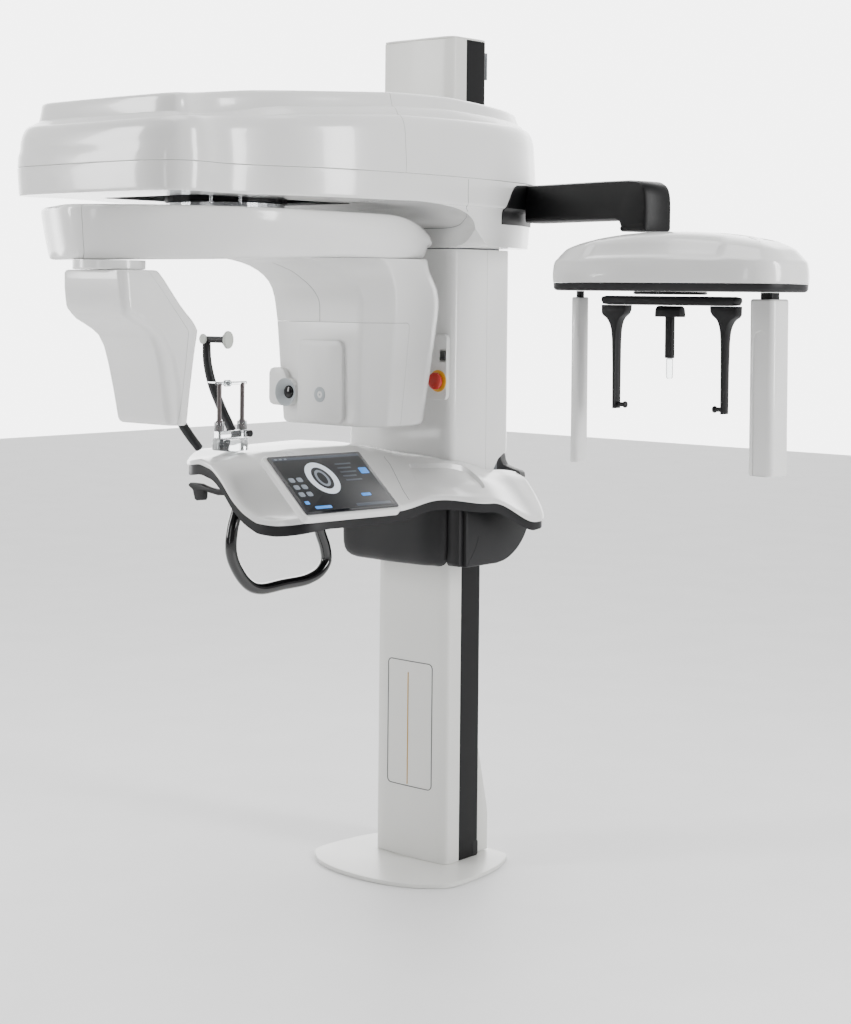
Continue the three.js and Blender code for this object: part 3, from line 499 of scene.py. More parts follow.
add(soften(extr("rocker_cap", rk, "x", 171, 189, GBK, e=0.8), 0.5), "rocker", "power_rocker")

# ------------------------------------------------------------------ crane
half = [(0, -1345), (140, -1342), (245, -1332), (302, -1300), (322, -1240), (308, -1150), (328, -1050), (372, -945), (412, -800), (432, -646), (438, -500), (430, -340), (400, -160), (350, -6), (290, 85), (180, 104), (0, 107)]
hp = outline(half + [(-x, y) for x, y in half[-2:0:-1]], 260)
zS = smoothtab([(-1345, 2050), (-1317, 2055), (-943, 2082), (-641, 2101), (-70, 2113), (115, 2105)])
zR = smoothtab([(-1290, 2088), (-1230, 2085), (-1094, 2101), (-968, 2120), (-774, 2132), (-604, 2144), (-404, 2151), (-69, 2146), (115, 2140)])
zT = smoothtab([(-1282, 2132), (-1221, 2136), (-1033, 2157), (-797, 2169), (-620, 2180), (-393, 2185), (-61, 2176), (115, 2170)])
def hr(o, f):
    return ringz(offs(hp, o), (lambda x, y: f) if not callable(f) else (lambda x, y: f(y)))
def mix(a, b, t, d=0):
    return lambda y: a(y) * (1 - t) + b(y) * t + d
def fan(o_, f, ts=(0.86, 0.72, 0.58, 0.44, 0.30, 0.17, 0.06)):
    q = offs(hp, o_)
    c = np.array([0.0, -560.0])
    return [ringz(c + (q - c) * t, lambda x, y: f(y)) for t in ts]
up_rings = [hr(1.2, 1970.4), hr(0, 1972), hr(1.5, 2000), hr(6, lambda y: zS(y) - 42)]
for k in range(1, 9):          # rounded shoulder
    a = math.pi / 2 * k / 8
    up_rings.append(hr(6 + 26 * (1 - math.cos(a)), (lambda a: lambda y: zS(y) - 42 + 62 * math.sin(a))(a)))
up_rings += [hr(42, lambda y: zR(y) - 4), hr(49, zR), hr(52.5, lambda y: zR(y) + 2), hr(54.5, lambda y: zR(y) + 8), hr(58, mix(zR, zT, 0.55)), hr(60, lambda y: zT(y) - 6), hr(62, lambda y: zT(y) - 2), hr(65, lambda y: zT(y) + 1), hr(69, lambda y: zT(y) + 2.2), hr(74, lambda y: zT(y) + 2), hr(80, lambda y: zT(y) - 1), hr(110, lambda y: zT(y) - 2)] + fan(110, lambda y: zT(y) - 2)
UP = lobj("UP", up_rings, GW, 30)
inn = lobj("tool", [hr(8, 1950), hr(26, lambda y: zS(y) - 30), hr(64, lambda y: zR(y) - 18), hr(90, lambda y: zT(y) - 14)] + fan(90, lambda y: zT(y) - 14), None, 0)
UP = boolean(UP, inn)
UP = boolean(UP, tbox(-143, -114, 1700, 143, 58, 2500))
UPR = copy(UP, "crane_upper_rear")
UP.name = "crane_upper_front"
boolean(UP, tbox(-700, -630.8, 1800, 700, 400, 2400))
boolean(UPR, tbox(-700, -1600, 1800, 700, -629.2, 2400))
add(soften(UP, 1.0), "carriage", "crane_upper_cover_front")
add(soften(UPR, 1.0), "carriage", "crane_upper_cover_rear")

def lathe_tool(prof, x, y, n=128):
    return lathe("tool", prof, (x, y, 0), (0, 0, 1), None, n, 0)
lo_rings = [hr(22, 1780), hr(14, 1890)] + [hr(13 - 9 * math.sin(a), 1899 + 12 * (1 - math.cos(a)) - 4) for a in np.linspace(0.0, math.pi / 2, 6)] + [hr(1.5, 1940), hr(0, 1966), hr(1.2, 1969.6)]
LO = lobj("LO", lo_rings, GW, 30)
side = catmull([(-700, 1899), (-554, 1899), (-440, 1890), (-385, 1874), (-350, 1856), (-310, 1826), (-270, 1801), (-235, 1790.6), (-150, 1790.3)], False, 8)
side = [(-1500, 1899)] + [tuple(p) for p in side] + [(200, 1790.3), (200, 1975), (-1500, 1975)]
LO = boolean(LO, extr("tool", side, "x", -600, 600, None, smooth=0), "INTERSECT")
swp = [(0, 1700), (672, 1700), (672, 1838), (668, 1852), (660, 1863), (645, 1874), (622, 1884), (600, 1890), (560, 1896), (526, 1898), (0, 1898)]
LO = boolean(LO, lathe_tool(swp, 0, -857))
sin_ = [(-1500, 1906), (-554, 1906), (-440, 1898), (-385, 1882), (-350, 1864), (-310, 1834), (-270, 1808), (-230, 1797), (200, 1797), (200, 1990), (-1500, 1990)]
cav = lobj("tool", [hr(30, 1780), hr(22, 1895), hr(14, 1915), hr(9, 2000)], None, 0)
cav = boolean(cav, extr("tool2", sin_, "x", -620, 620, None, smooth=0), "INTERSECT")
cav = boolean(cav, lathe_tool([(0, 1690), (679, 1690), (679, 1844), (668, 1868), (648, 1881), (602, 1896), (528, 1905), (0, 1905)], 0, -857))
LO = boolean(LO, cav)
LO = boolean(LO, tbox(-176, -154, 1700, 176, 76, 2100))
LO = boolean(LO, lobj("tool", [ringz(rrect(-190, -1130, 190, -560, 40, 10), 1850), ringz(rrect(-190, -1130, 190, -560, 40, 10), 1925)], None, 0))
LOR = copy(LO, "crane_lower_rear")
LO.name = "crane_lower_front"
boolean(LO, tbox(-700, -789.2, 1700, 700, 400, 2400))
boolean(LOR, tbox(-700, -1600, 1700, 700, -790.8, 2400))
add(soften(LO, 1.0), "carriage", "crane_lower_cover_front")
add(soften(LOR, 1.0), "carriage", "crane_lower_cover_rear")

# two bright guide pins beside the slewing bearing
for k, (px, py) in enumerate(((88, -991), (141, -939))):
    o = lathe("guide_pin_%d" % k, [(0, 0), (4.2, 0), (5, 0.8), (5, 28), (4.2, 29), (0, 29)], (px, py, 1884.5), (0, 0, 1), STL, 32)
    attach(o, "stage")

# ------------------------------------------------------------------ cephalometric arm and head
dA = np.array([0.976, -0.217])
nA = np.array([0.217, 0.976])
a1 = np.array([815.0, -108.0])
armp = [(-470, 1862), (-120, 1862), (-72, 1861), (-57, 1855), (-50.5, 1842), (-50, 1829.5), (46, 1829.5)] + [tuple(p) for p in catmull([(50, 1850), (50, 1905), (46, 1932), (36, 1950), (18, 1960), (-20, 1965)], False, 5)] + [(-120, 1966), (-470, 1966)]
AR = extr("ceph_swing_arm", armp, "y", -48, 48, BLK, e=11)
AR.data.transform(Matrix(((dA[0], nA[0], 0, a1[0] * MM), (dA[1], nA[1], 0, a1[1] * MM), (0, 0, 1, 0), (0, 0, 0, 1))))
gr = lobj("tool", [ringz(offs(hp, -0.4), 1700), ringz(offs(hp, -0.4), 2300)], None, 0)
AR = boolean(AR, gr)
add(soften(AR, 3.0, 3), "carriage", "ceph_arm")
RT = lobj("ceph_arm_root", [hr(15.4, 1835), hr(11.6, 1886), hr(9.0, 1892), hr(2.0, 1898), hr(0.4, 1908), hr(-1.0, 1925), hr(-2.0, 1945), hr(-3.0, 1966), hr(-2.8, 1968.6)], BLK, 30)
RT = boolean(RT, extr("tool", [(-186, 1853), (-189, 1886), (-150, 1944), (-138, 1956), (-122, 1963), (60, 1975), (60, 1853)], "x", 240, 520, None, smooth=0), "INTERSECT")
RT = boolean(RT, tbox(-600, -400, 1700, 300, 400, 2100))
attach(soften(RT, 0.8), "carriage")

cx, cy = 955, -165
cctl = [(-352, 0), (-346, -66), (-318, -108), (-215, -140), (0, -155), (215, -140), (318, -108), (346, -66), (352, 0), (346, 66), (318, 108), (215, 140), (0, 155), (-215, 140), (-318, 108), (-346, 66)]
cp = outline([(x + cx, y + cy) for x, y in cctl], 200)
def lft(x, k):
    return k * max(0, 1 - abs((x - cx) / 352) ** 2.2)
def cr_(o_, z, k=0):
    return ringz(offs(cp, o_), lambda x, y: z + lft(x, k))
def crown(o_, z, k, s_):
    t = np.clip((228 - np.abs(cp[:, 0] - cx)) / 38, 0, 1)
    t = t * t * (3 - 2 * t)
    return ringz(offs(cp, (o_ + s_ * t)[:, None]), lambda x, y: z + lft(x, k) - 0.0)
add(soften(lobj("ceph_hood", [cr_(2.5, 1693.4), cr_(1, 1695), cr_(0, 1712), cr_(1.0, 1728, 3), crown(3.0, 1740, 6, -1.5), crown(4.6, 1745, 8, -1.6), crown(6.4, 1748.4, 9.4, 1.5), crown(9.5, 1751.5, 11, 9.0), crown(14, 1755, 13, 12), crown(21, 1762, 16.5, 13), crown(30, 1769.6, 21, 13), crown(34, 1772.6, 23, 12), crown(39, 1774.8, 25.5, 11), crown(48, 1777, 30, 9), crown(60, 1779, 35, 6), crown(76, 1781, 39, 3), cr_(95, 1782, 41.5), cr_(118, 1782.5, 43)], GW, 40), 0.6), "carriage", "ceph_head_cover")
add(lobj("ceph_trim", [cr_(17, 1672), cr_(12, 1672.4), cr_(6, 1675), cr_(3.4, 1680), cr_(2.6, 1692.6)], DRK, 40), "carriage", "ceph_base_trim")

# ================================================================== rotor
AY = -857
Z1 = 1871
bctl = [(0, -512), (130, -425), (238, -289), (298, -130), (309, -20), (302, 150), (283, 330), (252, 480), (205, 590), (128, 622), (0, 636), (-128, 622), (-205, 590), (-252, 480), (-283, 330), (-302, 150), (-309, -20), (-305, -200), (-285, -375), (-150, -458)]
bp_ = outline([(x, y + AY) for x, y in bctl], 240)
def drop(y):
    t = max(0, (y - AY - 330) / 320)
    return 88 * t * t
def bring(o_, z, k=1.0):
    g = max(0.0, min(1.0, (1830 - z) / 90.0))
    return ringz(offs(bp_, o_), lambda x, y: z - drop(y) * k + g * 19 * max(0.0, min(1.0, (y - AY + 430) / 600)) ** 1.3)
def beam(name):
    R = [bring(40, 1736, 0), bring(30, 1736.6, 0), bring(24, 1739.5, 0), bring(21, 1744, 0), bring(16, 1765, 0), bring(10, 1795, 0.15), bring(4, 1830, 0.6), bring(0, Z1 - 16), bring(0.6, Z1 - 10), bring(2.6, Z1 - 5), bring(6, Z1 - 2), bring(12, Z1 - 0.4), bring(20, Z1)]
    return lobj(name, R, GW, 30)
CAPP = np.array([(60, AY - 560), (20, AY - 487), (-330, AY - 335), (-500, AY - 500), (-300, AY - 700), (0, AY - 700)][::-1], float)
CAPG = np.array([(61, AY - 560), (20.9, AY - 486.2), (-330, AY - 333.8), (-500, AY - 500), (-300, AY - 700), (0, AY - 700)][::-1], float)
def ptool(p, z0=1600, z1=2000):
    return lobj("tool", [ringz(p, z0), ringz(p, z1)], None, 0)
BM = beam("rotor_beam")
BM = boolean(BM, ptool(CAPG))
add(soften(BM, 1.2), "rotor", "rotor_beam_cover")
BC = beam("rotor_cap")
BC = boolean(BC, ptool(CAPP), "INTERSECT")
add(soften(BC, 1.2), "rotor", "rotor_end_cap")

# source housing
def srcring(xa, xb, yi, xo, yc, yo):
    xl = xa - 44
    m = (xa + xb) / 2
    P = [(xa + 12, yi), (xb - 12, yi), (xb - 2, yi + 5), (xo - 5, yc - 8), (xo, yc + 8), (xo + 1, (yc + yo) / 2 - 20), (xo - 5, yo - 66), (xo - 34, yo - 19), (m + 90, yo - 4), (m, yo), (m - 90, yo - 4), (xl + 34, yo - 19), (xl + 5, yo - 66), (xl - 1, (yc + yo) / 2 - 20), (xl, yc + 8), (xl + 5, yc - 8), (xa + 2, yi + 5)]
    P = [(x, y + AY) for x, y in P]
    n = len(P)
    C = catmull(P, True, 10).reshape(n, 10, 2)
    Q = []
    for i in range(n):
        if i in (0, 2, 15):
            a, b = np.array(P[i]), np.array(P[(i + 1) % n])
            Q += [tuple(a + (b - a) * t) for t in np.linspace(0, 1, 10, endpoint=False)]
        else:
            Q += [tuple(q) for q in C[i]]
    return np.array(Q)
SRC = [(-119, 165, 352, 214, 404, 580, 1296), (-124, 171, 347, 221, 403, 587, 1298.5), (-127, 174, 344, 224, 402, 590, 1302), (-130, 176, 342, 226, 402, 591, 1308), (-143, 184, 340, 238, 401, 607, 1445), (-155, 192, 338, 249, 400, 621, 1579), (-158, 193.5, 337.4, 250.5, 400, 623, 1600), (-161, 194, 336.5, 251.5, 399.5, 624, 1622), (-165, 192, 335.4, 252, 399, 623, 1645), (-172, 184, 332, 250.5, 397, 617, 1672), (-180, 171, 327, 248, 394, 609, 1690), (-189, 157, 317, 245.5, 391, 601, 1706), (-199, 142, 303, 243.5, 386, 594, 1720), (-212, 124, 284, 242, 380, 590, 1733), (-224, 108, 262, 241, 371, 588, 1742), (-235, 94, 236, 240, 360, 586.5, 1749), (-246, 80, 205, 239, 345, 585, 1754)]
def source(name):
    return lobj(name, [ringz(srcring(*q[:6]), q[6]) for q in SRC], GW, 30)
def seam(g):
    p = [(AY + 150, 1250 - g), (AY + 441 + g, 1250 - g)] + [(AY + 441 + 8 * t + g, 1250 + 312 * t) for t in np.linspace(0.1, 1, 6)] + [(AY + 449 + g - 12 * (1 - math.cos(a)), 1566 + (13 + g) * math.sin(a)) for a in np.linspace(0.2, 1.5, 6)] + [(AY + 434, 1579 + g), (AY + 150, 1579 + g)]
    return extr("tool", p, "x", -400, 400, None, smooth=0)
SI = boolean(source("source_inner"), seam(0), "INTERSECT")
add(soften(SI, 1.5, 3), "rotor", "source_inner_cover")
SO = boolean(source("source_outer"), seam(1.0))
add(soften(SO, 1.5, 3), "rotor", "source_outer_cover")
fp = rrect(-57, 1303, 114, 1530, 22, 10)
fpan = extr("source_panel", fp, "y", AY + 327.5, AY + 350, GW2, e=4)
cutg = source("tool")
cutg.location.y = -0.35 * MM
bpy.context.view_layer.update()
fpan = boolean(fpan, cutg)
add(soften(fpan, 1.0), "rotor", "source_front_panel")
o = lathe("source_port_ring", [(9.6, 0), (20.4, 0), (21, 0.5), (20.4, 1.0), (10, 1.0), (9.6, 0.6), (9.6, 0)], (31, AY + 327.4, 1380), (0, -1, 0), GREYP, 64)
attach(o, "rotor")
o = lathe("source_port_dot", [(0, 0), (2.6, 0), (2.8, 0.4), (2.4, 0.9), (0, 1.0)], (31, AY + 327.4, 1380), (0, -1, 0), GREYP, 32)
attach(o, "rotor")
pod = [tuple(p) for p in corner(-98, 1382, 39, -90, 84, 26)] + [(-100, 1434), (-108, 1446), (-122, 1450), (-146, 1450), (-158, 1446), (-164, 1434), (-164, 1362), (-160, 1350), (-148, 1345), (-122, 1344)]
pd = extr("camera_housing", pod, "y", AY + 322, AY + 352, GW2, e=4)
c2 = source("tool")
c2.location.y = -0.35 * MM
bpy.context.view_layer.update()
pd = boolean(pd, c2)
pd = boolean(pd, tbox(-58, AY + 300, 1290, -20, AY + 360, 1500))
pd = boolean(pd, lathe("tool", [(0, -16), (19.4, -16), (38, 0.2), (40, 3), (0, 3)], (-98, AY + 322.0, 1382), (0, -1, 0), None))
add(soften(pd, 1.0), "rotor", "camera_pod")
o = lathe("camera_dish", [(18, -15.4), (37.2, 0.3), (38.6, 0.7), (39.2, 0.2), (38.2, -0.6), (19.2, -17), (18, -17), (18, -15.4)], (-98, AY + 322.0, 1382), (0, -1, 0), GREYP, 72)
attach(o, "rotor")
o = lathe("camera_lens", [(0, -17), (18, -17), (18, -13.4), (17, -12), (13, -10.2), (7, -9), (0, -8.6)], (-98, AY + 322.0, 1382), (0, -1, 0), LENS, 64)
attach(o, "rotor")

# detector head
NX, NY = 20, AY - 408
add(lathe("detector_collar", [(0, -10), (30, -10), (30, 0.5), (84, 0.5), (88, 1.5), (90, 4), (90, 23.4), (0, 23.4)], (NX, NY, 1711.3), (0, 0, 1), GW, 96), "rotor", "detector_neck")
DT = np.array([(-88, 128, -288, -240, 1326), (-91, 131, -295, -238, 1330), (-92, 132, -300, -236, 1340), (-94, 134, -314, -229.5, 1410), (-97, 137, -330, -222, 1480), (-97.5, 137.5, -343, -216, 1520), (-98, 138, -360, -211, 1548), (-98, 138, -380, -209, 1563), (-98.5, 138.5, -404, -218, 1576), (-99, 139, -430, -229, 1589), (-99, 139, -448, -246, 1604), (-99, 139, -457, -266, 1624), (-99, 139, -461, -287, 1648), (-99, 139, -463, -304, 1668), (-98, 138, -464, -320, 1688), (-97, 137, -465, -334, 1703), (-94, 134, -463, -339, 1709.2), (-90, 130, -459, -343, 1711)], float)
def sculpt(z):
    """how far out along -Y the proud band of the side reaches"""
    return float(np.interp(z, [1320, 1420, 1500, 1560, 1600, 1625], [-262, -268, -290, -330, -400, -480]))
def drings():
    out = []
    zs = np.unique(np.concatenate([DT[:, 4], np.arange(1345, 1620, 9.0)]))
    for z in zs:
        xa, xb, ya, yb = (np.interp(z, DT[:, 4], DT[:, k]) for k in range(4))
        p = rrect(xa, ya, xb, yb, 22, 8)
        q = []
        n = len(p)
        for k in range(n):
            a, b = p[k], p[(k + 1) % n]
            m = 30 if (k + 1) % 9 == 0 else 1
            q += [a + (b - a) * t / m for t in range(m)]
        q = np.array(q)
        sy = sculpt(z)
        for k in range(len(q)):
            x, y = q[k]
            t = max(0.0, min(1.0, (sy - y) / 14.0))
            t = t * t * (3 - 2 * t)
            side = max(0.0, min(1.0, (abs(x - 20) - 60) / 40))
            q[k][0] = x - (7.0 * t * side if x > 20 else -7.0 * t * side)
        out.append(ringz(q + np.array([0, AY]), z))
    return out
def det(name):
    return lobj(name, drings(), GW, 50)
def dseam(g):
    p = [(AY - 100, 1300), (AY - 276 - g, 1300), (AY - 250.0 - g, 1561), (AY - 382 - g, 1711.2), (AY - 382 - g, 1800), (AY - 100, 1800)]
    return extr("tool", p, "x", -300, 300, None, smooth=0)
DI = boolean(det("detector_inner"), dseam(0), "INTERSECT")
DI = boolean(DI, lobj("tool", [ringz(circ(NX, NY, 31), 1695), ringz(circ(NX, NY, 31), 1720)], None, 0))
add(soften(DI, 1.5, 3), "detector", "detector_inner_cover")
DO = boolean(det("detector_outer"), dseam(1.0))
DO = boolean(DO, lobj("tool", [ringz(circ(NX, NY, 31), 1695), ringz(circ(NX, NY, 31), 1720)], None, 0))
add(soften(DO, 2.0, 3), "detector", "detector_outer_cover")

# ================================================================== shelf
front = smoothtab([(-130, 1208), (-90, 1214), (0, 1226), (50, 1214), (90, 1184), (130, 1141), (170, 1111), (215, 1090), (265, 1086), (330, 1088)])
midt = smoothtab([(-160, 1236), (-60, 1240), (40, 1236), (120, 1205), (200, 1158), (280, 1122), (350, 1100)])
mid2 = smoothtab([(-200, 1236), (-60, 1240), (40, 1236), (120, 1208), (200, 1168), (280, 1138), (350, 1117)])
near = smoothtab([(-200, 1200), (0, 1205), (150, 1198), (215, 1190), (300, 1142), (352, 1090)])
rear = smoothtab([(200, 1158), (252, 1134), (300, 1088), (362, 1026)])
ROWS = [(-930, front), (-800, midt), (-560, midt), (-400, mid2), (-172, near), (20, rear), (110, lambda v: rear(v) - 8)]
def shelfz(x, y):
    i = 0
    while i < len(ROWS) - 2 and y > ROWS[i + 1][0]:
        i += 1
    f = (y - ROWS[i][0]) / (ROWS[i + 1][0] - ROWS[i][0])
    f = max(0.0, min(1.0, f))
    f = f * f * (3 - 2 * f)
    return ROWS[i][1](x) * (1 - f) + ROWS[i + 1][1](x) * f
plan = [(-90, -905), (-40, -935), (50, -945), (170, -948), (265, -932), (330, -880), (352, -740), (352, -550), (350, -400), (352, -220), (358, -60), (362, 20), (350, 68), (303, 96), (252, 108), (212, 104), (208, 80), (208, -60), (208, -183), (-150, -183), (-186, -200), (-203, -260), (-205, -360), (-190, -500), (-165, -650), (-146, -780), (-124, -860)]
seg1 = catmull(plan[:16], False, 12)
seg2 = catmull(plan[19:] + plan[:1], False, 12)
ring0 = np.vstack([seg1, [(208, 80), (208, -60), (208, -183)], seg2[:-1]])
def dense(p, step):
    out = []
    n = len(p)
    for i in range(n):
        a, b = p[i], p[(i + 1) % n]
        m = max(1, int(np.linalg.norm(b - a) / step))
        out += [a + (b - a) * k / m for k in range(m)]
    return np.array(out)
ring0 = dense(ring0, 9)
def inside(p, poly):
    x, y = p
    c = False
    j = len(poly) - 1
    for i in range(len(poly)):
        if (poly[i][1] > y) != (poly[j][1] > y) and x < (poly[j][0] - poly[i][0]) * (y - poly[i][1]) / (poly[j][1] - poly[i][1]) + poly[i][0]:
            c = not c
        j = i
    return c
def rpoly(P, r, n=6):
    """polygon with rounded corners"""
    P = np.asarray(P, float)
    out = []
    for i in range(len(P)):
        p, q, w = P[i - 1], P[i], P[(i + 1) % len(P)]
        a, b = q + (p - q) / np.linalg.norm(p - q) * r, q + (w - q) / np.linalg.norm(w - q) * r
        out += [a * (1 - t) ** 2 + 2 * q * t * (1 - t) + b * t * t for t in np.linspace(0, 1, n)]
    return np.array(out)
TRAY = dense(rpoly([(168, -318), (304, -410), (324, -158), (246, -152)], 18), 7)
TRW = 5.0
def trayd(x, y):
    a, b = TRAY, np.roll(TRAY, -1, 0)
    p = np.array([x, y])
    t = np.clip(np.sum((p - a) * (b - a), 1) / np.sum((b - a) ** 2, 1), 0, 1)
    d = float(np.min(np.linalg.norm(a + (b - a) * t[:, None] - p, axis=1)))
    return d if inside((x, y), TRAY) else -d
def tray(x, y):
    if x < 150 or y < -430 or y > -130:
        return 0.0
    u = max(0.0, min(1.0, (y + 400) / 230))
    return (6.5 + 6.3 * u) * max(0.0, min(1.0, trayd(x, y) / TRW))
def sheet(name, ring, ztop, thick, mat, edge=8.0, step=13.0):
    """thick skin over a plan outline, with a rounded upper rim"""
    n = len(ring)
    ds = [0.0, edge * 0.12, edge * 0.4, edge]
    zs = [-edge * 0.75, -edge * 0.35, -edge * 0.09, 0.0]
    rings = [offs(ring, d) for d in ds]
    pts, z = [], []
    for rg, dz in zip(rings, zs):
        for x, y in rg:
            pts.append((x, y))
            z.append(ztop(x, y) + dz)
    edges = []
    for k in range(len(ds)):
        edges += [(k * n + i, k * n + (i + 1) % n) for i in range(n)]
    if step < 20:
        for lp in (TRAY, offs(TRAY, TRW)):
            k0, m0 = len(pts), len(lp)
            for x, y in lp:
                pts.append((x, y))
                z.append(ztop(x, y))
            edges += [(k0 + i, k0 + (i + 1) % m0) for i in range(m0)]
    core = offs(ring, edge + 7)
    for gx in np.arange(-230, 390, step):
        for gy in np.arange(-970, 150, step):
            if inside((gx, gy), core) and not (step < 20 and -3 < trayd(gx, gy) < TRW + 3):
                pts.append((gx, gy))
                z.append(ztop(gx, gy))
    if step < 20:
        for gx in np.arange(153, 345, 5.5):
            for gy in np.arange(-428, -128, 5.5):
                if inside((gx, gy), core) and not -3 < trayd(gx + 0.3, gy + 0.2) < TRW + 3:
                    pts.append((gx + 0.3, gy + 0.2))
                    z.append(ztop(gx + 0.3, gy + 0.2))
    vo, eo, fo, ov, oe, of = delaunay_2d_cdt([Vector(p) for p in pts], edges, [list(range(n))], 1, 1e-4, True)
    fo = [f for f in fo if inside((sum(vo[i].x for i in f) / len(f), sum(vo[i].y for i in f) / len(f)), ring)]
    V = []
    for k, v in enumerate(vo):
        src = ov[k]
        V.append((v.x, v.y, z[src[0]] if src else ztop(v.x, v.y)))
    F = [tuple(f) for f in fo]
    # rim vertices in order, then the underside
    idx = {}
    for k in range(len(vo)):
        for s in ov[k]:
            if s < n:
                idx[s] = k
    rim = [idx[i] for i in range(n)]
    m = len(V)
    low = []
    for i in range(n):
        x, y = ring[i]
        low.append((x, y, ztop(x, y) - thick))
    V += low
    for i in range(n):
        j = (i + 1) % n
        F.append((rim[i], m + i, m + j, rim[j]))
    # underside follows the top
    off = len(V)
    und = [(a, b, c - thick + (0 if True else 0)) for a, b, c in V[:len(vo)]]
    und = [(a, b, ztop(a, b) - thick) for a, b, _ in und]
    V += und
    for f in fo:
        F.append(tuple(off + q for q in reversed(f)))
    for i in range(n):
        j = (i + 1) % n
        F.append((m + i, off + rim[i], off + rim[j], m + j))
    return obj(name, V, F, mat, 40)
SH = sheet("shelf_skin", ring0, lambda x, y: shelfz(x, y) - tray(x, y), 14, GW, edge=9)
add(SH, "shelf", "shelf_top_cover")
TR = sheet("shelf_rim", offs(ring0, 5), lambda x, y: shelfz(x, y) - 14.4, 27, TRIM, edge=2.5, step=40)
add(TR, "shelf", "shelf_edge_trim")

# brackets under the shelf
fb = np.array([(-184, -178.6), (-184, -196), (-176, -212), (-160, -224), (-80, -230), (0, -234), (80, -231), (150, -226), (180, -216), (198, -204), (206, -190), (206, -178.6)], float)
fb = np.array(list(catmull(fb, False, 6)))
def fbr(o_, z):
    q = [(x * (1 - o_ / 220) + 2 * o_ / 220, min(-178.6, y + o_ * 0.8)) for x, y in fb]
    return ringz(np.array(q), z)
add(soften(lobj("bracket_front", [fbr(44, 886), fbr(32, 888), fbr(20, 893), fbr(10, 902), fbr(4, 914), fbr(1, 930), fbr(0, 960), fbr(0, 1120)], DRK, 35), 1.5), "shelf", "shelf_front_bracket")
sb = [(-172, 892), (-165, 890), (-60, 890)] + [tuple(p) for p in catmull([(-30, 890), (10, 897), (50, 916), (80, 940), (100, 966), (112, 990), (112, 1020)], False, 6)] + [(106, 1052), (84, 1072), (-60, 1082), (-172, 1090)]
add(soften(extr("bracket_side", sb, "x", 206.4, 262, DRK, e=6), 2.0, 3), "shelf", "shelf_side_bracket")

wb = extr("bracket_web", [(-189, 900), (-184, 893), (-168, 893), (-168, 1086), (-189, 1092)], "x", 204, 250, DRK, e=3)
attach(wb, "shelf")
# touch screen
Tt, Aa = math.radians(39), math.radians(-5)
axv = Vector((-math.sin(Aa), math.cos(Aa), 0))
outv = Vector((math.cos(Aa), math.sin(Aa), 0))
nv = outv * math.sin(Tt) + Vector((0, 0, 1)) * math.cos(Tt)
uv = nv.cross(axv)
SM = Matrix((axv, uv, nv)).transposed().to_4x4()
SM.translation = Vector((285, -735, 1172))
HS = rounded("screen_case", rrect(-167, -115, 167, 115, 16, 8), -26, -4.3, 5, GW, 5, SM)
add(HS, "shelf", "touch_screen_housing")
add(rounded("screen_glass", rrect(-158, -105, 158, 105, 6, 6), -4, 0, 1.0, GLS, 3, SM), "shelf", "touch_screen_glass")
def tile(tag, x0, y0, x1, y1, mat, r=2.0, z1=0.40):
    o = rounded("screen_" + tag, rrect(x0, y0, x1, y1, r, 4), 0.06, z1, 0.1, mat, 2, SM)
    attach(o, "shelf")
tile("panel", -148, -97, 148, 97, UI_DARK, 3, 0.20)
tile("header", -148, 88, 148, 97, UI_GREY, 1.5, 0.3)
for q in range(3):
    tile("dot_%d" % q, -140 + q * 16, 90.5, -132 + q * 16, 95, UI_SOFT, 1, 0.5)
tile("accent_0", 112, 22, 140, 44, UI_BLUE, 3, 0.5)
tile("accent_1", 60, -58, 92, -48, UI_BLUE, 3, 0.5)
tile("accent_2", -140, -72, -126, -60, UI_BLUE, 3, 0.5)
tile("accent_3", -118, -90, -64, -80, UI_BLUE, 3, 0.5)
for a_ in range(2):
    for b_ in range(3):
        tile("button_%d%d" % (a_, b_), -140 + 26 * a_, -44 + 26 * b_, -122 + 26 * a_, -28 + 26 * b_, UI_SOFT, 5, 0.5)
for b_ in range(5):
    tile("row_%d" % b_, 44, 60 - 15 * b_, 100 - 9 * (b_ % 2), 65 - 15 * b_, UI_GREY, 2, 0.5)
tile("footer", 20, -92, 138, -82, UI_GREY, 3, 0.4)
def flat_loop(tag, outer, inner, mat, z0=0.25, z1=0.6):
    n = len(outer)
    V, F = [], []
    for lp, z in ((outer, z0), (outer, z1), (inner, z1), (inner, z0)):
        V += [tuple(SM @ Vector((x, y, z))) for x, y in lp]
    for q in range(4):
        a, b = q * n, ((q + 1) % 4) * n
        F += [(a + i, a + (i + 1) % n, b + (i + 1) % n, b + i) for i in range(n)]
    o = obj("screen_" + tag, V, F, mat, 30)
    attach(o, "shelf")
el = lambda cx_, cy_, a_, b_, n=48: [(cx_ + a_ * math.cos(2 * math.pi * t / n), cy_ + b_ * math.sin(2 * math.pi * t / n)) for t in range(n)]
flat_loop("oval", el(-28, 16, 48, 58), el(-28, 16, 30, 40), UI_WHITE)
flat_loop("oval_in", el(-28, 16, 20, 30), el(-28, 16, 13, 22), UI_SOFT)

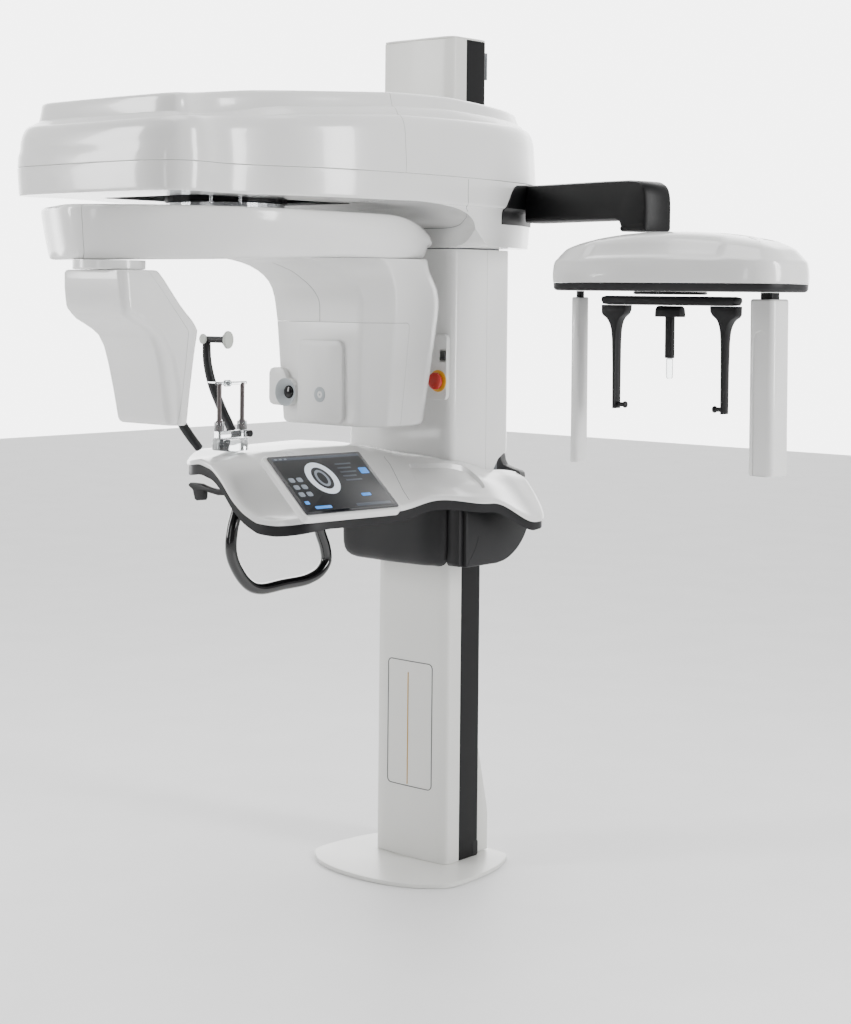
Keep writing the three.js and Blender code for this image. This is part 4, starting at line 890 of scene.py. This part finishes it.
# hand grip
gp = catmull([(0, -790, 1180), (0, -804, 1092), (0, -824, 1028), (0, -826, 968), (0, -798, 914), (0, -758, 876), (0, -718, 863), (0, -633, 866), (0, -537, 871), (0, -488, 888), (0, -466, 914), (0, -470, 950), (0, -492, 1000), (0, -510, 1060), (0, -512, 1182)], False, 14)
add(sweep("grip_tube", gp, 15.5, GBK, 32, up=(1, 0, 0)), "shelf", "hand_grip")
hk = [(-82, 1151), (-75, 1156), (-36, 1155), (-22, 1151), (0, 1147), (30, 1145), (58, 1150), (58, 1186), (74, 1186), (74, 1140), (60, 1132), (30, 1130), (0, 1134), (-22, 1139), (-22, 1120), (-26, 1113), (-50, 1110), (-57, 1113), (-66, 1138), (-81, 1146)]
hp_ = extr("handset_hook", hk, "y", -907, -891, DRK, e=2.0)
add(soften(hp_, 1.2), "shelf", "remote_hook")
add(rounded("chin_base", rrect(-38, -872, 38, -796, 16, 8), 1241.4, 1275, 4, ACR, 5), "shelf", "chin_rest_base")
B1 = rounded("bite_block", rrect(-14, -886, 14, -780, 8, 6), 1275.4, 1294, 2, ACR, 4)
add(B1, "bite", "bite_support")
for q, yy in enumerate((-792, -874)):
    o = lathe("bite_rod_%d" % q, [(0, 0), (5.2, 0), (6, 0.8), (6, 124), (5.2, 125), (0, 125)], (0, yy, 1294.2), (0, 0, 1), ROD, 32)
    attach(o, "bite")
for q, yy in enumerate((-792, -874)):
    o = rounded("bite_clamp_%d" % q, rrect(-11, yy - 11, 11, yy + 11, 6, 6), 1294.3, 1318, 2, ACR, 4)
    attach(o, "bite")
    o = lathe("bite_foot_%d" % q, [(0, 0), (9, 0), (9, 1.5), (8, 3), (0, 3)], (0, yy, 1318.2), (0, 0, 1), ROD, 32)
    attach(o, "bite")
o = lathe("bite_knob", [(0, 0), (8, 0), (9, 1), (9, 9), (8, 10), (0, 10)], (16, -784, 1285), (1, 0, 0), DRK, 32)
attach(o, "bite")
o = lathe("bite_hub", [(0, -8), (8, -8), (9, -7), (9, 7), (8, 8), (0, 8)], (0, -846, 1419), (0, 1, 0), ACR, 32)
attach(o, "bite")
o = sweep("bite_bar", [(0, -886, 1419), (0, -833, 1419), (0, -780, 1419)], 4.6, ACR, 20)
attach(o, "bite")
o = sweep("bite_tip", [(3, -846, 1419), (-40, -846, 1419), (-76, -846, 1419)], lambda t: 4.8 - 1.6 * t, ACR, 20, flat=0.6)
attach(o, "bite")

# temple supports
MY = -848
for tag, sg in (("near", -1), ("far", 1)):
    y, yi = MY + sg * 84, MY + sg * 64
    P_ = catmull([(-36, yi, 1250), (-60, MY + sg * 77, 1284), (-110, y, 1345), (-148, y, 1410), (-168, y, 1470), (-172, y, 1532)], False, 10)
    A_ = sweep("temple_bar_" + tag, P_, lambda t: 11 + 1.4 * math.sin(math.pi * t), DRK, 28, up=(0, 1, 0))
    X_ = sweep("tool", [(-176, y, 1530), (-134, y, 1530), (-92, y, 1530)], 9, DRK, 24)
    A_ = boolean(A_, X_, "UNION")
    shade(A_, 40)
    add(A_, "temple_" + tag, "temple_arm_" + tag)
    add(lathe("temple_disc_" + tag, [(0, 0), (23, 0), (24, 1), (24, 5), (22.5, 8), (17, 9.4), (0, 9.6)], (-91, y, 1530), (0.956, sg * 0.292, 0), PAD, 48), "temple_" + tag, "temple_pad_" + tag)
    o = lathe("temple_joint_" + tag, [(0, 0), (13, 0), (14, 1), (14, 4), (13, 5), (10, 5.6), (0, 5.6)], (-174, y - 8.5, 1531), (0, -1, 0), PAD, 40)
    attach(o, "temple_" + tag)
    o = lathe("temple_back_" + tag, [(0, 0), (15, 0), (17, 1.5), (17, 5), (15, 7), (0, 7.5)], (-96, y, 1530), (1, 0, 0), DRK, 40)
    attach(o, "temple_" + tag)

# ================================================================== cephalometric unit
CX, CY = 934, -165
add(soften(extr("head_holder_bar", [(CX - 206, 1648), (CX - 204, 1657), (CX - 190, 1660), (CX + 190, 1660), (CX + 204, 1657), (CX + 206, 1648), (CX + 200, 1638), (CX + 180, 1636.2), (CX - 180, 1636.2), (CX - 200, 1638)], "y", CY - 22, CY + 22, DRK, e=4), 1.2), "craniostat", "craniostat_bar")
o = lathe("head_holder_disc", [(0, 0), (90, 0), (95, 2), (95, 6.5), (92, 7.7), (0, 7.7)], (CX, CY, 1663.8), (0, 0, 1), DRK, 96)
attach(o, "craniostat")
for tag, s in (("inner", -1), ("outer", 1)):
    X = lambda v: CX + s * v
    prof = [(X(208), 1635.6), (X(130), 1635.6), (X(130), 1622)] + [tuple(p) for p in catmull([(X(136), 1612), (X(150), 1600), (X(158), 1580), (X(161.5), 1545), (X(162.5), 1480)], False, 6)] + [(X(163), 1363), (X(171), 1363), (X(172), 1480)] + [tuple(p) for p in catmull([(X(174), 1545), (X(179), 1578), (X(190), 1598), (X(204), 1608)], False, 6)] + [(X(208), 1614)]
    A_ = extr("ear_bar_" + tag, prof, "y", CY - 15, CY + 15, DRK, e=2.5)
    add(soften(A_, 1.0), "ear_" + tag, "ear_arm_" + tag)
    o = lathe("ear_plug_" + tag, [(0, 0), (6, 0), (6, 22), (8.6, 24), (9.2, 27), (8, 30), (4.5, 31.6), (0, 31.8)], (X(165), CY, 1374), (-s, 0, 0), DRK, 40)
    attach(o, "ear_" + tag)
npf = [(CY - 15, 1606), (CY + 15, 1606)] + [(CY + 15 * math.cos(a), 1620 + 15 * math.sin(a)) for a in np.linspace(0, math.pi, 15)]
NB = extr("nasion_head", npf, "x", CX - 38, CX + 38, DRK, e=2.5)
add(soften(NB, 1.0), "nasion", "nasion_support")
o = rounded("nasion_bar", rrect(CX - 11, CY - 9, CX + 11, CY + 9, 4, 5), 1500, 1608, 2, DRK, 3)
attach(o, "nasion")
o = lathe("nasion_tip", [(0, 0), (7, 0), (9, 3), (9, 40), (8.4, 50), (5, 53.5), (0, 54)], (CX, CY, 1500), (0, 0, -1), ACR, 40)
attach(o, "nasion")
CO = rounded("ceph_collimator_blade", rrect(640, -200, 666, -150, 9, 8), 1215, 1655, 4, GW, 5)
add(CO, "collimator", "ceph_collimator")
o = lobj("ceph_collimator_stem", [ringz(rrect(646, -185, 660, -165, 3, 4), 1654), ringz(rrect(646, -185, 660, -165, 3, 4), 1671.4)], DRK)
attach(o, "collimator")
SE = rounded("ceph_sensor_case", rrect(1190, -200, 1262, -118, 15, 8), 1215, 1655, 6, GW, 5)
SE = boolean(SE, extr("tool", [(1206, 1200), (1244, 1200), (1244, 1556), (1238, 1572), (1225, 1578), (1212, 1572), (1206, 1556)], "y", -204, -197.6, None, smooth=0))
soften(SE, 0.8)
add(SE, "sensor", "ceph_sensor")
o = lobj("ceph_sensor_stem", [ringz(rrect(1210, -180, 1245, -140, 6, 4), 1654), ringz(rrect(1210, -180, 1245, -140, 6, 4), 1671.4)], DRK)
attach(o, "sensor")

# ------------------------------------------------------------------ fine seams on the covers
def groove(name, pts, ob, body, r=0.8, mat=None, step=5.0, close=False):
    P = np.asarray(pts, float)
    P = catmull(P, close, 12)
    L = float(np.sum(np.linalg.norm(np.diff(P, axis=0), axis=1)))
    P = spaced(P, max(8, int(L / step)), close)
    dg = bpy.context.evaluated_depsgraph_get()
    dg.update()
    ev = ob.evaluated_get(dg)
    Q = []
    for p in P:
        ok, loc, nor, idx = ev.closest_point_on_mesh(Vector(p) * MM)
        Q.append(tuple((loc - nor * 0.00012) / MM))
    if close:
        Q += Q[:2]
    o = sweep(name, Q, r, mat or SEAM, 10, up=(0.13, 0.21, 0.97), dome=not close)
    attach(o, body)
    return o
groove("crane_side_seam", [(434, -383, 1966), (431, -380.7, 1924), (418.4, -370.1, 1885), (385, -330, 1871), (348.6, -299.1, 1862), (296.1, -257.9, 1850.3), (247.1, -234.3, 1845), (189.2, -214, 1843.8), (114.5, -197, 1844.8)], LOR, "carriage", 0.8)
groove("source_arch_seam", [(-92, -594, 1742), (-81, -572, 1732.4), (-59.8, -554.4, 1720), (-38.7, -536, 1699.8), (-12.9, -526.6, 1678), (6.9, -523, 1656), (18.1, -521, 1634), (19.2, -520, 1606.6), (18.7, -519, 1581)], SO, "rotor", 0.8)
groove("shelf_seam", [(120, -362, 1206), (132.9, -371.2, 1201.4), (154.2, -379.3, 1191), (186.1, -397.9, 1175), (235.7, -432.2, 1153.2), (282.8, -464.1, 1131.7), (333, -495, 1112)], SH, "shelf", 0.7)
groove("shelf_button", [(63.8 + 13 * math.cos(t), -674.8 + 13 * math.sin(t), 1227) for t in np.linspace(0, 2 * math.pi, 24, endpoint=False)], SH, "shelf", 0.8, GREYP, 3.0, True)
groove("bracket_seam", [(262, -118, 975), (262, -124.6, 955.8), (262, -137.5, 932.4), (262, -157.7, 906.1), (262, -164, 897)], bpy.data.objects["bracket_side"], "shelf", 0.8, BLK)

# ------------------------------------------------------------------ CAD nodes that stay
STAY = {"wall_bracket": FRM, "lift_screw": STL, "carriage_frame": FRM, "crane_frame": FRM, "y_rail_left": STL, "y_rail_right": STL, "stage_plate": FRM, "slew_bearing": DRK, "rotation_motor": DRK, "rotor_hub": STL, "source_tube_head": FRM, "flat_panel_sensor": DRK}
for nme, m in STAY.items():
    ob = frame["nodes"][nme]
    ob.data.materials.clear()
    ob.data.materials.append(m)
    bv = ob.modifiers.new("edge", "BEVEL")
    bv.width = 0.0012
    bv.segments = 2
    bv.limit_method = "ANGLE"
    bv.angle_limit = math.radians(35)

# ------------------------------------------------------------------ floor and light
fl = obj("floor", [(-14000, -14000, -0.6), (14000, -14000, -0.6), (14000, 14000, -0.6), (-14000, 14000, -0.6)], [(0, 1, 2, 3)], FLOOR, 0)

world = bpy.data.worlds.new("studio")
SC.world = world
world.use_nodes = True
wt = world.node_tree
bg = wt.nodes["Background"]
tcw = wt.nodes.new("ShaderNodeTexCoord")
dt = wt.nodes.new("ShaderNodeVectorMath")
dt.operation = "DOT_PRODUCT"
dt.inputs[1].default_value = (-0.657, 0.754, 0.0)
wt.links.new(tcw.outputs["Generated"], dt.inputs[0])
mr = wt.nodes.new("ShaderNodeMapRange")
mr.inputs["From Min"].default_value = -1.0
mr.inputs["From Max"].default_value = 1.0
wt.links.new(dt.outputs["Value"], mr.inputs["Value"])
rp = wt.nodes.new("ShaderNodeValToRGB")
rp.color_ramp.elements[0].position, rp.color_ramp.elements[0].color = 0.0, (0.03, 0.03, 0.031, 1)
rp.color_ramp.elements[1].position, rp.color_ramp.elements[1].color = 1.0, (1, 1, 1, 1)
for p_, c_ in ((0.35, 0.035), (0.60, 0.08), (0.80, 0.26), (0.93, 1.0)):
    e_ = rp.color_ramp.elements.new(p_)
    e_.color = (c_, c_, c_, 1)
wt.links.new(mr.outputs["Result"], rp.inputs["Fac"])
wt.links.new(rp.outputs["Color"], bg.inputs["Color"])
bg.inputs["Strength"].default_value = 5.6

def area(name, loc, target, size, size_y, power, color=(1, 1, 1)):
    d = bpy.data.lights.new(name, "AREA")
    d.shape = "RECTANGLE"
    d.size, d.size_y = size, size_y
    d.energy = power
    d.color = color
    o = bpy.data.objects.new(name, d)
    COL.objects.link(o)
    o.location = loc
    o.rotation_mode = "QUATERNION"
    o.rotation_quaternion = (Vector(target) - Vector(loc)).to_track_quat("-Z", "Y")
    return o

area("key", (-3.4, -4.6, 3.0), (0.0, -0.6, 1.6), 1.1, 3.4, 185)
area("side", (4.6, 0.6, 2.6), (0.2, -0.5, 1.4), 0.9, 3.2, 200)
area("front", (1.6, -6.6, 1.9), (0.2, -0.5, 1.3), 0.6, 2.4, 30)
area("top", (0.2, -1.4, 5.4), (0.2, -0.6, 0), 3.0, 3.0, 130)
